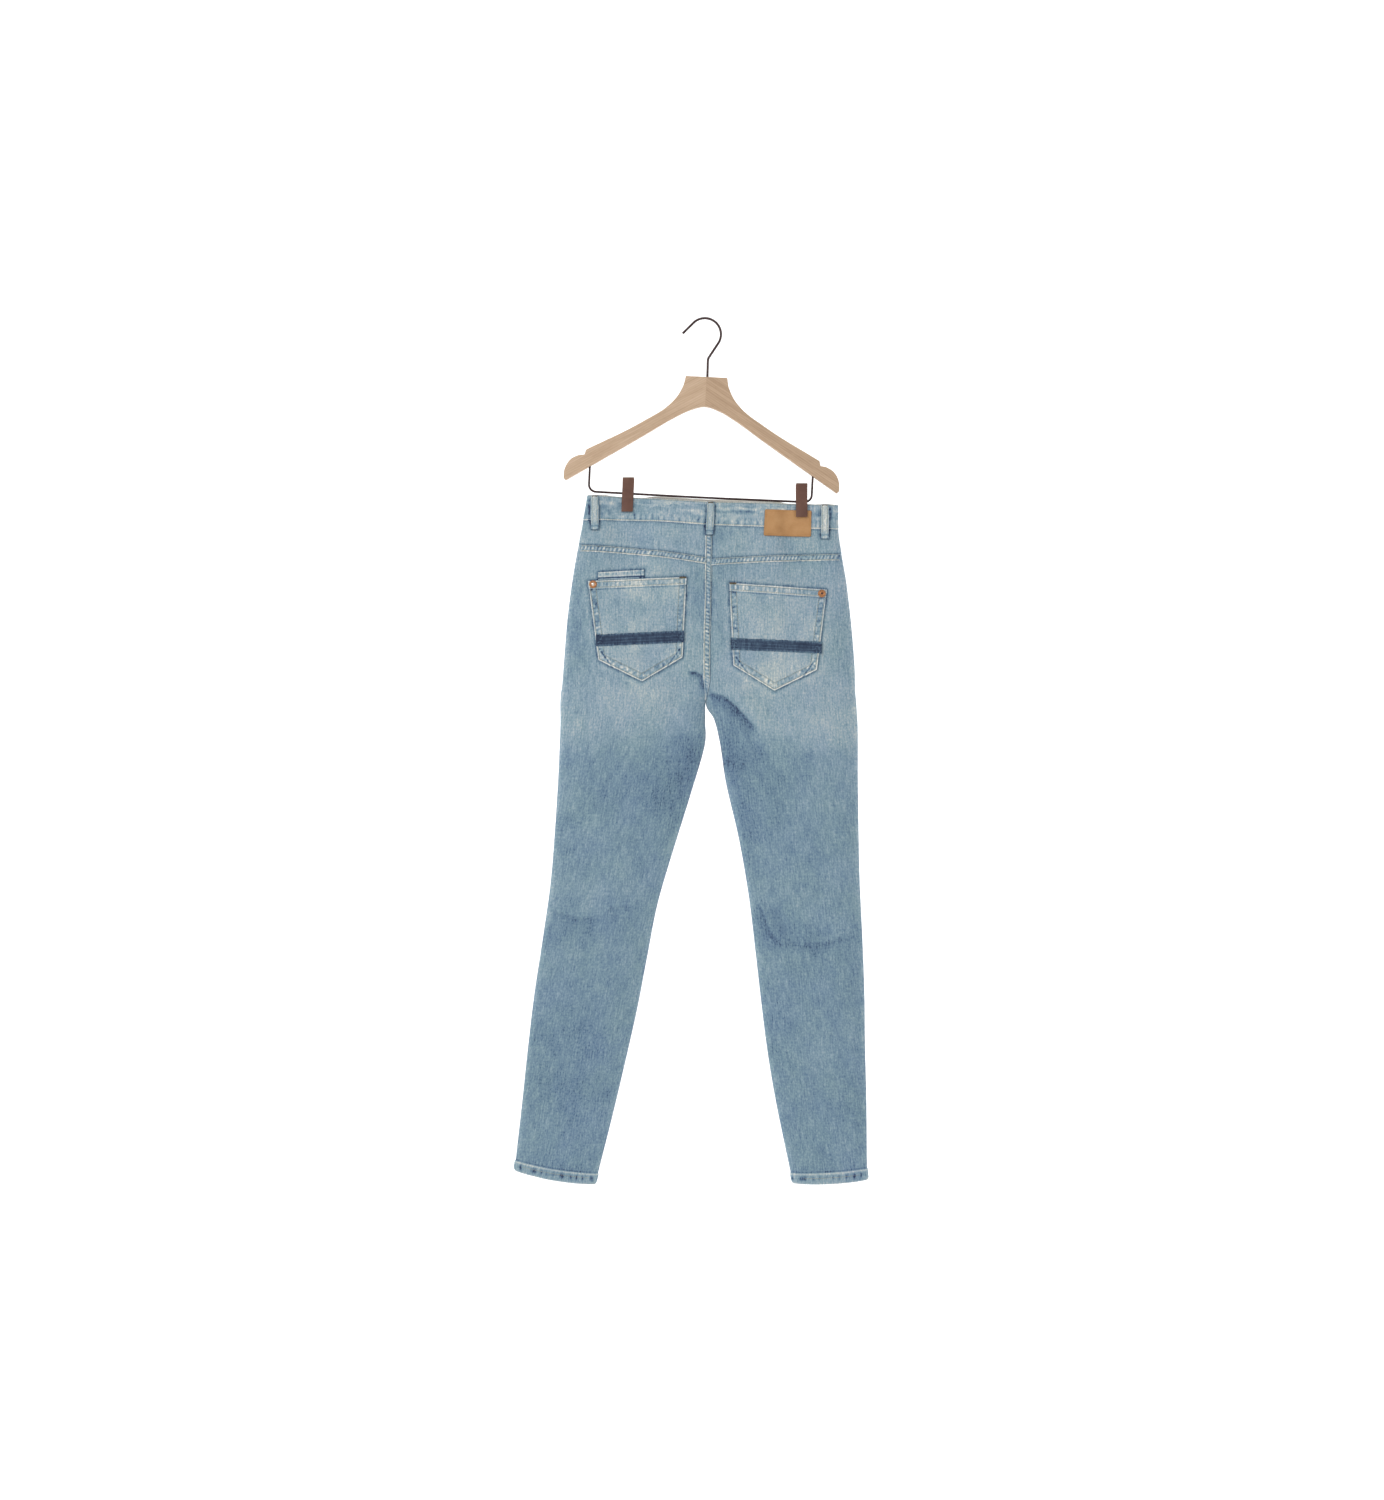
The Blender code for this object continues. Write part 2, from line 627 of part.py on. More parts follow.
def pocket_bands(home):
    for name, band in POCKET_BANDS.items():
        outer_x, outer_top, outer_bottom, inner_x, inner_top, inner_bottom = band
        corners = (
            (outer_x, outer_top),
            (inner_x, inner_top),
            (inner_x, inner_bottom),
            (outer_x, outer_bottom),
        )
        x, drop = strip_grid(corners, 3, 10)
        base = LYING_GAP + POCKET_WALL + LYING_GAP
        outer = SIDES[name].lay(BACK, x, drop, base + BAND_WALL)
        inner = SIDES[name].lay(BACK, x, drop, base)
        wall("pocket_band_" + name, outer, inner, DARK_DENIM, home)


def ticket_pocket(home):
    (left_x, left_top), (right_x, right_top) = TICKET_POCKET
    _, top_outer, top_inner = POCKETS["left"][:3]

    def pocket_top(x):
        share = (x - top_outer[0]) / (top_inner[0] - top_outer[0])
        return top_outer[1] + (top_inner[1] - top_outer[1]) * share - SEAM_GAP

    corners = (
        (left_x, left_top),
        (right_x, right_top),
        (right_x, pocket_top(right_x)),
        (left_x, pocket_top(left_x)),
    )
    x, drop = strip_grid(corners, 3, 7)
    outer = SIDES["left"].lay(BACK, x, drop, LYING_GAP + POCKET_WALL)
    inner = SIDES["left"].lay(BACK, x, drop, LYING_GAP)
    wall("ticket_pocket", outer, inner, DENIM, home)


def patch(home):
    x, drop = strip_grid(PATCH_CORNERS, 6, 9)
    base = WAISTBAND_PROUD + SEAM_GAP
    outer = SIDES["right"].lay(BACK, x, drop, base + PATCH_WALL)
    inner = SIDES["right"].lay(BACK, x, drop, base)
    wall("waist_patch", outer, inner, LEATHER, home)


def belt_loops(home):
    for name, (hand, face, top_x, bottom_x) in BELT_LOOPS.items():
        side = SIDES[SIDE_NAME[hand]]
        share = abs(top_x - CENTRE_FRONT_X) / HALF_WAIST
        waist = np.array([STATION["waist_top"], STATION["waist_seam"]], float)
        ends = side.place(waist, np.array([share, share]), 0.0)[1]
        top = ends[0] + (LOOP_TOP_BACK if face == BACK else LOOP_TOP_FRONT)
        bottom = ends[1] + LOOP_TAIL
        down = np.linspace(0, 1, 9)[:, None]
        centre = top_x + (bottom_x - top_x) * down
        x = centre + np.linspace(-0.5, 0.5, 3)[None, :] * LOOP_WIDTH
        drop = np.broadcast_to(top + (bottom - top) * down, x.shape)
        stand_off = LOOP_STAND_OFF * np.sin(math.pi * down) ** 0.6
        base = WAISTBAND_PROUD + SEAM_GAP + stand_off
        outer = side.lay(face, x, drop, base + LOOP_WALL)
        inner = side.lay(face, x, drop, base)
        wall("belt_loop_" + name, outer, inner, DENIM, home)


def fly(home):
    """The lapped front edge over the zip, rounded off at its foot."""
    side = SIDES["left"]
    top = side.columns["inner_drop"][STATION["waist_seam"]] + SEAM_GAP
    turn = np.sin(np.linspace(0, 0.48 * math.pi, 6)[1:])
    down = np.append(np.linspace(0, FLY_CURVE_START, 6), FLY_CURVE_START + (1 - FLY_CURVE_START) * turn)
    foot = np.clip((down - FLY_CURVE_START) / (1 - FLY_CURVE_START), 0, 1)
    width = FLY_WIDTH * np.sqrt(1 - foot**2) + FLY_FOOT_WIDTH * foot
    edge = CENTRE_FRONT_X + FLY_LAP
    over = np.linspace(0, 1, 5)[None, :]
    x = edge - width[:, None] * over
    drop = np.broadcast_to((top + FLY_LENGTH * down)[:, None] - 1.0 * over, x.shape)
    outer = side.lay(FRONT, x, drop, LYING_GAP + FLY_WALL)
    inner = side.lay(FRONT, x, drop, LYING_GAP)
    wall("fly", outer, inner, DENIM, home)


def turned(name, radius, profile, finish, home):
    """A piece turned about its own Z axis. Its profile is in shares of the radius and millimetres."""
    mesh = bpy.data.meshes.new(name)
    line = [(share * radius * MM, 0, height * MM) for share, height in profile]
    mesh.from_pydata(line, [(i, i + 1) for i in range(len(line) - 1)], [])
    obj = finished(bpy.data.objects.new(name, mesh), finish, home)
    screw = obj.modifiers.new("Turn", "SCREW")
    screw.steps = screw.render_steps = 20
    screw.use_merge_vertices = True
    screw.merge_threshold = 0.00001
    return obj


def seat_on(obj, side, face, x, drop, out):
    """Sets a turned piece on the garment with its axis along the surface's normal."""
    reach = 4.0
    xs = np.array([x, x - reach, x + reach, x, x])
    drops = np.array([drop, drop, drop, drop - reach, drop + reach], float)
    spot = side.lay(face, xs, drops, 0.0)
    normal = np.cross(spot[2] - spot[1], spot[4] - spot[3])
    normal = normal / np.linalg.norm(normal)
    if normal[1] * face < 0:
        normal = -normal
    obj.location = spot[0] + normal * out * MM
    obj.rotation_euler = Vector(normal).to_track_quat("Z", "Y").to_euler()


def rivets(home):
    out = 2 * LYING_GAP + POCKET_WALL + POCKET_HEM_PROUD
    for name, (hand, x, drop) in RIVETS.items():
        obj = turned("rivet_" + name, RIVET_RADIUS, RIVET_PROFILE, COPPER, home)
        seat_on(obj, SIDES[SIDE_NAME[hand]], BACK, x, drop, out)


def button(home):
    obj = turned("waist_button", BUTTON_RADIUS, BUTTON_PROFILE, COPPER, home)
    side = SIDES["right"]
    drops = side.columns["inner_drop"]
    drop = (drops[STATION["waist_top"]] + drops[STATION["waist_seam"]]) / 2 - BUTTON_RISE
    out = WAISTBAND_PROUD + WAISTBAND_WALL + 3 * SEAM_GAP
    seat_on(obj, side, FRONT, CENTRE_FRONT_X + BUTTON_OFF_CENTRE, drop, out)


def hanger_frame(home):
    """An empty that carries the hanger's lean."""
    frame = bpy.data.objects.new("hanger_frame", None)
    frame.location = (HANGER_ORIGIN[0] * MM, 0, -HANGER_ORIGIN[1] * MM)
    frame.rotation_euler = (0, HANGER_TILT, 0)
    home.objects.link(frame)
    return frame


def made_mesh(curve_object, home):
    """Turns a curve into a welded mesh in its place."""
    graph = bpy.context.evaluated_depsgraph_get()
    mesh = bpy.data.meshes.new_from_object(curve_object.evaluated_get(graph))
    shape = bmesh.new()
    shape.from_mesh(mesh)
    bmesh.ops.remove_doubles(shape, verts=shape.verts, dist=0.00001)
    shape.to_mesh(mesh)
    shape.free()
    obj = bpy.data.objects.new(curve_object.name, mesh)
    obj.parent = curve_object.parent
    obj.matrix_local = curve_object.matrix_local
    home.objects.link(obj)
    name = curve_object.name
    bpy.data.objects.remove(curve_object, do_unlink=True)
    obj.name = name
    return obj


def hanger_body(frame, home, cutters):
    curve = bpy.data.curves.new("hanger_body", "CURVE")
    curve.dimensions = "2D"
    curve.fill_mode = "BOTH"
    curve.extrude = HANGER_THICKNESS / 2 * MM
    curve.resolution_u = 4
    right = [(x, drop, corner) for _, x, drop, corner in HANGER_OUTLINE]
    left = [(-x, drop, corner) for x, drop, corner in reversed(right)]
    outline = right + [(0, ARCH_DROP, False)] + left
    line = curve.splines.new("BEZIER")
    line.bezier_points.add(len(outline) - 1)
    for point, (x, drop, corner) in zip(line.bezier_points, outline):
        point.co = (x * MM, -drop * MM, 0)
        point.handle_left_type = point.handle_right_type = "VECTOR" if corner else "AUTO"
    line.use_cyclic_u = True
    obj = bpy.data.objects.new("hanger_body", curve)
    obj.parent = frame
    obj.rotation_euler = (math.pi / 2, 0, 0)
    home.objects.link(obj)
    bpy.context.view_layer.update()
    obj = made_mesh(obj, home)
    home.objects.unlink(obj)
    finished(obj, BEECH, home)
    edge = obj.modifiers.new("Edge", "BEVEL")
    edge.width = HANGER_EDGE_ROUNDING * MM
    edge.segments = 2
    edge.limit_method = "ANGLE"
    edge.angle_limit = math.radians(50)
    for x, ends in ((0, STEM_HOLE), (-BAR_HALF_SPAN, BAR_HOLE), (BAR_HALF_SPAN, BAR_HOLE)):
        cutter = hole_cutter(frame, cutters, x, ends)
        cut = obj.modifiers.new("Hole", "BOOLEAN")
        cut.operation = "DIFFERENCE"
        cut.object = cutter
    return obj


def hole_cutter(frame, cutters, x, ends):
    """A round cutter for a wire's hole, upright in the hanger's frame."""
    top, bottom = ends
    bpy.ops.mesh.primitive_cylinder_add(
        vertices=12,
        radius=(WIRE_RADIUS + HOLE_CLEARANCE) * MM,
        depth=(bottom - top) * MM,
        location=(x * MM, 0, -(top + bottom) / 2 * MM),
    )
    cutter = bpy.context.object
    cutter.name = f"hole_cutter_{x:.0f}"
    cutter.parent = frame
    cutter.hide_render = True
    cutter.display_type = "WIRE"
    for home in list(cutter.users_collection):
        home.objects.unlink(cutter)
    cutters.objects.link(cutter)
    return cutter


def wire(name, route, radius, home, frame=None):
    """A round wire through points given as x and drop."""
    curve = bpy.data.curves.new(name, "CURVE")
    curve.dimensions = "3D"
    curve.bevel_depth = radius * MM
    curve.bevel_resolution = 2
    curve.use_fill_caps = True
    line = curve.splines.new("POLY")
    line.points.add(len(route) - 1)
    for point, (x, drop) in zip(line.points, route):
        point.co = (x * MM, 0, -drop * MM, 1)
    obj = bpy.data.objects.new(name, curve)
    obj.parent = frame
    return finished(obj, BRONZE, home)


def arc(centre, radius, start, end, steps):
    """Points on an arc, in degrees anticlockwise from +X, with drop downwards."""
    angles = np.radians(np.linspace(start, end, steps + 1))
    return [(centre[0] + radius * math.cos(a), centre[1] - radius * math.sin(a)) for a in angles]


def hook(home):
    centre = (0.0, HOOK_RADIUS - WIRE_RADIUS)
    lean = math.tan(HANGER_TILT)
    stem = [(HANGER_ORIGIN[0] - drop * lean, drop) for drop in (HOOK_STEM_ENTRY, HOOK_STEM_FOOT)]
    route = [HOOK_TIP, *arc(centre, HOOK_RADIUS, *HOOK_SWEEP, 14), *HOOK_NECK, *stem]
    wire("hook", route, WIRE_RADIUS, home)


def trouser_bar(frame, home):
    corner = (BAR_HALF_SPAN - BAR_CORNER, BAR_DROP - BAR_CORNER)
    right = [(BAR_HALF_SPAN, BAR_TOP)] + arc(corner, BAR_CORNER, 0, -90, 5)
    right += [(BAR_HALF_SPAN / 2, BAR_DROP + BAR_SAG)]
    left = [(-x, drop) for x, drop in reversed(right)]
    wire("trouser_bar", right + left, BAR_RADIUS, home, frame)


def clips(home):
    for name, (clip_x, top, lip, lean) in CLIPS.items():
        side = SIDES[name]
        patch_under = PATCH_WALL + SEAM_GAP if name == "right" else 0.0
        for face, label in ((BACK, "back"), (FRONT, "front")):
            bearing = WAISTBAND_PROUD + JAW_CLEARANCE + (patch_under if face == BACK else 0.0)
            shares = np.array(JAW_BEARING)
            xs = np.full(shares.shape, float(clip_x))
            waist_top = side.columns["outer_drop"][STATION["waist_top"]]
            drops = np.maximum(top + (lip - top) * shares, waist_top)
            cloth = np.abs(side.lay(face, xs, drops, bearing)[:, 1]).max() / MM
            down = np.array([share for share, _ in JAW_PROFILE] + list(shares))
            away = np.array([max(y, cloth) for _, y in JAW_PROFILE] + [cloth] * len(shares))
            away[-1] += JAW_LIP_TURN
            width = np.linspace(-0.5, 0.5, 3)[None, :] * CLIP_WIDTH
            drop = np.broadcast_to((top + (lip - top) * down)[:, None], (len(down), 3))
            x = clip_x + width - (drop - (top + lip) / 2) * math.tan(math.radians(lean))
            outer = points(x, face * (away[:, None] + CLIP_PLATE), drop)
            inner = points(x, face * away[:, None], drop)
            wall(f"clip_{name}_{label}", outer, inner, CLIP_BROWN, home)


def clip_springs(frame, home):
    """The coiled spring round the bar between each clip's plates, as a sleeve."""
    for name, (clip_x, _, _, _) in CLIPS.items():
        lean_shift = math.sin(HANGER_TILT) * BAR_DROP
        x = (clip_x - HANGER_ORIGIN[0] + lean_shift) / math.cos(HANGER_TILT)
        drop = BAR_DROP + BAR_SAG * (1 - abs(x) / BAR_HALF_SPAN)
        half = SPRING_HALF_LENGTH
        body = BAR_RADIUS + SPRING_GAP + SPRING_WIRE
        bore = (BAR_RADIUS + SPRING_GAP) / body
        ring = [(1, half), (1, -half), (bore, -half), (bore, half), (1, half)]
        obj = turned("clip_spring_" + name, body, ring, BRONZE, home)
        obj.parent = frame
        obj.rotation_euler = (0, math.pi / 2, 0)
        obj.location = (x * MM, 0, -drop * MM)


def main():
    clear_scene()
    home = collection("hanging_jeans")
    cutters = collection("cutters")
    back_panels(home)
    yokes(home)
    front_panels(home)
    pocket_facings(home)
    waistband(home)
    back_pockets(home)
    pocket_bands(home)
    ticket_pocket(home)
    patch(home)
    belt_loops(home)
    fly(home)
    rivets(home)
    button(home)
    frame = hanger_frame(home)
    hanger_body(frame, home, cutters)
    hook(home)
    trouser_bar(frame, home)
    clips(home)
    clip_springs(frame, home)


main()
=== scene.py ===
"""Light washed tapered jeans on a wooden clip hanger: cloth, sewing and materials over the solids.

Metres, +Z up. The origin is the inside top of the hook. +X is the wearer's right and +Y the front of
the garment. Lengths named here are millimetres, and a height is a drop below the origin.
"""

import math

import bmesh
import bpy
import numpy as np
from mathutils import Matrix, Vector


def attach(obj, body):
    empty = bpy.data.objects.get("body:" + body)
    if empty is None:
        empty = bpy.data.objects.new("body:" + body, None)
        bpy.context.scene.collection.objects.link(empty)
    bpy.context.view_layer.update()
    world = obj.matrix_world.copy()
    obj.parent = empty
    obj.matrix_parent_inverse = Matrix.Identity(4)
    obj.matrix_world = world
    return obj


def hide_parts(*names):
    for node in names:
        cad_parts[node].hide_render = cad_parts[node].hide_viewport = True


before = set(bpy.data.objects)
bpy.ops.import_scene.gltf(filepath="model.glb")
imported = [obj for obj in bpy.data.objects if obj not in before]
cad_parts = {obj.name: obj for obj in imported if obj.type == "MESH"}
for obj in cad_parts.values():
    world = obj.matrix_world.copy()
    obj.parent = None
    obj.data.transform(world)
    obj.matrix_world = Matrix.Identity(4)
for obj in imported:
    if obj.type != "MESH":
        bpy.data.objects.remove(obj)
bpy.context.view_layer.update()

MM = 0.001
LEFT, RIGHT = -1, 1
BACK, FRONT = -1, 1
SIDE_NAME = {LEFT: "left", RIGHT: "right"}

# The form, as the solids have it.
SEAM_GAP = 0.3
SEWN_GAP = 0.04
LYING_GAP = 0.8
UNDERSIDE_GAP = 0.25
CLOTH_WALL = 1.6
WAISTBAND_WALL = 2.6
WAISTBAND_PROUD = 0.8
WAISTBAND_DEPTH = 38.0
HEM_PROUD = 0.7
HEM_SPREAD = 0.9
HEM_CORNER = 4.5
FLATNESS = 2.4
FRONT_DEPTH_SHARE = 0.9
FRONT_WAIST_RISE = 5.0
HALF_WAIST = 190.0
YOKE_DEPTH = 42.0

SECTION_COLUMNS = ("outer_x", "outer_drop", "inner_x", "inner_drop", "half_depth", "opening", "bow")
LEFT_SECTIONS = {
    "waist_top": (-178, 267, 6, 278, 12, 1, 0),
    "waist_seam": (-185, 307, 6, 315, 13, 1, 2.5),
    "yoke_seam": (-192, 342, 9, 363, 15, 1, 3.5),
    "hip": (-201, 393, 6, 424, 17, 1, 3),
    "seat": (-209, 454, 5, 487, 19, 0.97, 1),
    "under_seat": (-214, 515, 4, 550, 20, 0.8, 0),
    "fork": (-217, 553, 1.2, 586, 20, 0, 0),
    "thigh_top": (-220, 579, 1, 611, 20, 0, 0),
    "thigh_upper": (-220, 617, 0, 649, 19, 0, 0),
    "thigh": (-223, 693, -22, 725, 18, 0, 0),
    "thigh_lower": (-228, 773, -46, 802, 17, 0, 0),
    "knee": (-235, 858, -71, 887, 15, 0, 0),
    "under_knee": (-247, 943, -87, 968, 14, 0, 0),
    "calf": (-260, 1029, -103, 1051, 13, 0, 0),
    "shin": (-270, 1114, -122, 1135, 12, 0, 0),
    "ankle": (-279, 1199, -142, 1219, 11, 0, -1),
    "hem_stitch": (-288, 1278, -162, 1298, 10, 0, -3),
    "hem": (-289, 1293.5, -165.5, 1314.5, 10, 0, -4),
}
RIGHT_SECTIONS = {
    "waist_top": (202, 282, 6, 278, 12, 1, 0),
    "waist_seam": (203, 321, 6, 315, 13, 1, 0),
    "yoke_seam": (208, 356, 9, 364, 15, 1, 1.5),
    "hip": (216, 404, 6, 424, 17, 1, 1),
    "seat": (223, 465, 5, 487, 19, 0.97, 0),
    "under_seat": (228, 527, 4, 550, 20, 0.8, 0),
    "fork": (229, 563, 1.2, 586, 20, 0, 0),
    "thigh_top": (231, 588, 14, 609, 20, 0, 0),
    "thigh_upper": (233, 626, 23, 647, 19, 0, 0),
    "thigh": (233, 687, 32, 706, 18, 0, 0),
    "thigh_lower": (234, 770, 51, 788, 17, 0, 0),
    "knee": (236, 857, 66, 874, 15, 0, 0),
    "under_knee": (240, 942, 76, 956, 14, 0, 0),
    "calf": (243, 1023, 85, 1035, 13, 0, 0),
    "shin": (244, 1105, 95, 1114, 12, 0, 0),
    "ankle": (246, 1187, 109, 1196, 11, 0, -1),
    "hem_stitch": (247, 1290, 130, 1297, 10, 0, -2),
    "hem": (248.5, 1307, 132, 1312.5, 10, 0, -3.5),
}
STATION = {name: index for index, name in enumerate(LEFT_SECTIONS)}
PANEL_LENGTHS = ("seat", "thigh", "calf")

# How far each leg's axis leans outwards for each millimetre down, from the fork.
LEG_LEAN = {LEFT: -0.175, RIGHT: 0.105}
LEAN_TOP_DROP = 560.0
LEAN_EASE = 60.0
# The front's grain lies this far from the back's, so that nothing mirrors at the side seams.
FRONT_CUT_APART = 900.0

# Folds: the face, the curve's start, middle and end as x and drop, the half width and the height,
# which is negative for a trough. The solids have these folds too, but not the fine ones.
FOLDS = (
    (BACK, (4, 577), (34, 584), (78, 636), 11, -4.5),
    (BACK, (16, 556), (52, 574), (100, 622), 14, 3.0),
    (BACK, (-24, 548), (-40, 572), (-62, 622), 14, -2.5),
    (BACK, (84, 884), (116, 908), (152, 952), 13, -3.0),
    (BACK, (160, 930), (198, 938), (236, 934), 12, -2.5),
    (BACK, (-232, 900), (-190, 916), (-140, 910), 13, -2.0),
    (FRONT, (-4, 574), (-52, 588), (-108, 574), 13, -3.0),
    (FRONT, (12, 576), (60, 592), (118, 582), 13, -3.0),
    (FRONT, (-46, 520), (-104, 528), (-166, 508), 12, -2.0),
    (FRONT, (52, 520), (110, 534), (176, 520), 12, -2.0),
    (FRONT, (-228, 872), (-176, 894), (-112, 886), 14, -2.5),
    (FRONT, (98, 880), (150, 896), (214, 880), 14, -2.5),
)
FOLD_STEPS = 13
FINE_FOLDS = (
    (BACK, (6, 579), (24, 577), (44, 590), 4.5, -2.2),
    (BACK, (40, 588), (58, 604), (76, 630), 5.0, -2.0),
    (BACK, (-2, 556), (-10, 541), (-28, 537), 4.0, -2.2),
    (BACK, (-4, 562), (-20, 556), (-34, 560), 6.0, 1.4),
    (BACK, (14, 597), (32, 606), (48, 640), 7.0, 1.6),
    (BACK, (62, 612), (78, 650), (84, 700), 9.0, -1.2),
    (BACK, (92, 886), (108, 903), (128, 912), 5.0, -1.6),
    (BACK, (108, 926), (140, 950), (172, 944), 6.0, -1.5),
    (BACK, (160, 946), (196, 936), (234, 931), 5.0, 1.3),
    (BACK, (-226, 884), (-182, 898), (-132, 893), 8.0, 0.9),
    (BACK, (-222, 926), (-176, 930), (-128, 922), 7.0, -0.9),
    (BACK, (233, 1052), (232, 1100), (238, 1178), 4.5, -1.7),
    (BACK, (222, 1060), (220, 1104), (228, 1168), 6.0, 0.9),
    (BACK, (-228, 1292), (-198, 1268), (-172, 1236), 5.0, -1.5),
    (BACK, (-216, 1288), (-188, 1258), (-166, 1226), 6.0, 0.9),
    (BACK, (196, 1282), (176, 1262), (150, 1240), 6.0, -0.8),
    (FRONT, (-8, 562), (-48, 566), (-92, 552), 8.0, 1.4),
    (FRONT, (16, 564), (58, 570), (100, 558), 8.0, 1.4),
    (FRONT, (-30, 474), (-90, 486), (-150, 472), 8.0, -1.1),
    (FRONT, (44, 478), (100, 492), (160, 480), 8.0, -1.1),
    (FRONT, (-220, 902), (-176, 916), (-120, 910), 8.0, 1.0),
    (FRONT, (104, 906), (152, 916), (208, 900), 8.0, 1.0),
    (FRONT, (-216, 934), (-174, 946), (-124, 938), 7.0, -1.0),
    (FRONT, (108, 936), (150, 944), (206, 930), 7.0, -1.0),
)

# Each clip's x, the drops of its top and its lower lip, and its lean in degrees.
CLIPS = {"left": (-117, 241, 293, 2.4), "right": (147, 250, 301, 0.0)}
CLIP_PLATES = [f"clip_plate_{name}_{face}" for name in CLIPS for face in ("back", "front")]
CLIPPED_HALF_DEPTH = 3.6
PINCH_HALF_WIDTH = 33.0
PINCH_REACH = 75.0

POCKETS = {
    "left": (LEFT, (-178, 398), (-27, 392), (-162, 519), (-95, 552), (-33, 515)),
    "right": (RIGHT, (186, 411), (36, 401), (170, 534), (105, 566), (42, 527)),
}
POCKET_WALL = 1.4
POCKET_HEM = 13.0
POCKET_HEM_PROUD = 0.6
POCKET_BANDS = {
    "left": (-165, 480, 498, -31, 474, 492),
    "right": (177, 491, 509, 39, 485, 503),
}
BAND_WALL = 1.0
BAND_DEPTH = 18
BAND_LENGTH = 136
BAND_TONES = {"left": 0.045, "right": 0.085}
TICKET_POCKET = ((-162, 385), (-92, 381))
TICKET_WIDTH = 70
TICKET_DEPTH = 13.5
PATCH_CORNERS = ((91, 290), (162, 291), (161, 331), (89, 330))
PATCH_CENTRE = (126, 310.5)
PATCH_SIZE = (71, 40)
PATCH_ROUNDING = 2.2
PATCH_WALL = 1.2
RIVETS = {"left": (LEFT, -169, 404), "right": (RIGHT, 177, 418)}
RIVET_RADIUS = 6.0
BELT_LOOPS = {
    "back_left": (LEFT, BACK, -167, -167),
    "back_centre": (RIGHT, BACK, 9, 7),
    "back_right": (RIGHT, BACK, 182, 182),
    "front_left": (LEFT, FRONT, -92, -92),
    "front_right": (RIGHT, FRONT, 104, 104),
}
# How washed the loops are, and the two that are less so.
LOOP_TONE = 0.92
LOOP_TONES = {"back_left": 0.85, "back_centre": 0.78}
LOOP_WIDTH = 12.5
LOOP_WALL = 1.5
LOOP_TAIL = 14.0
LOOP_STAND_OFF = 1.8
LOOP_TOP_BACK = 0.5
LOOP_TOP_FRONT = 1.0
CENTRE_FRONT_X = 6.0
FLY_WIDTH = 38.0
FLY_LAP = 2.0
FLY_LENGTH = 150.0
FLY_CURVE_START = 0.7
FLY_FOOT_WIDTH = 3.0
FLY_WALL = 1.2
WAIST_LAP = 14.0
WAIST_UNDERLAP = 22.0
SCOOP_ACROSS = 0.48
FACING_SET_BACK = 0.9

# Pressed creases at the fork and the knees: the line as x and drop, how dark its painted shadow is and
# how far that painted shadow reaches on the side that lies lower.
CREASES = (
    (((-27, 536), (-15, 537.5), (-5, 542), (-1.5, 560), (0.5, 576)), 0.46, 6.0),
    (((1, 574), (12, 570.5), (27, 573.5), (40, 583), (55, 598.5), (71, 617), (90, 640)), 0.38, 15.0),
    (((-236, 898), (-190, 912), (-150, 908)), 0.10, 9.0),
    (((80, 884), (88, 903), (98, 930), (112, 948), (150, 951)), 0.21, 9.0),
    (((136, 952), (186, 947), (234, 934)), 0.15, 7.0),
    (((-150, 896), (-122, 892), (-96, 893)), 0.10, 6.0),
)

# The sewing that shows on the back.
FELL_WIDTH = 11.0
FELL_WALL = 0.9
FELL_LIFT = 0.25
CENTRE_SEAM = ((6, 330), (5.5, 372), (5, 427), (3.4, 480), (3, 518), (3, 548), (1.5, 579))
CENTRE_SEAM_FOOT = 575
STITCH_PITCH = 3.1
STITCH_LENGTH = 2.5
STITCH_RADIUS = 0.36
STITCH_ROW_STEP = 3.0
TACK_RADIUS = 0.34
TACK_SPACING = 0.42

NOISE_CELLS = 64
# Shading strengths: of the leg's own wear with the painted shade above its hem, and of the painted shadow
# and unfaded indigo round the pockets and beside the loops on the legs and on the yokes.
WEAR_AND_SHADE_STRENGTH = 1.5
LEG_SHADOW_AND_INDIGO_STRENGTH = 1.35
YOKE_SHADOW_AND_INDIGO_STRENGTH = 1.3


def spline(column, station):
    """A smooth curve through the column's values, read at any station."""
    last = len(column) - 1
    lower = np.clip(np.floor(station).astype(int), 0, last - 1)
    t = station - lower
    before = column[np.maximum(lower - 1, 0)]
    start = column[lower]
    end = column[lower + 1]
    after = column[np.minimum(lower + 2, last)]
    slope = (end - before) * t
    bend = (2 * before - 5 * start + 4 * end - after) * t**2
    twist = (3 * start - before - 3 * end + after) * t**3
    return 0.5 * (2 * start + slope + bend + twist)


def lengths_along(line):
    """How far along a line of points each of them is."""
    return np.concatenate([[0], np.cumsum(np.linalg.norm(np.diff(line, axis=0), axis=1))])


def read_along(at, run, values):
    """Three-part values read at distances along a line."""
    return np.stack([np.interp(at, run, values[:, k]) for k in range(3)], axis=-1)


def power_sine(cosine):
    """The oval's height where its width coordinate is cosine."""
    return (1 - np.clip(np.abs(cosine), 0, 1) ** FLATNESS) ** (1 / FLATNESS)


def pinch(x, drop):
    """How far the clips press the front and back together, from 0 to 1."""
    pressed = np.zeros_like(x)
    for clip_x, _, lip, _ in CLIPS.values():
        sideways = np.exp(-(((x - clip_x) / PINCH_HALF_WIDTH) ** 4))
        below = np.exp(-((np.maximum(drop - lip - 12, 0) / PINCH_REACH) ** 2))
        pressed = np.maximum(pressed, sideways * below)
    return pressed


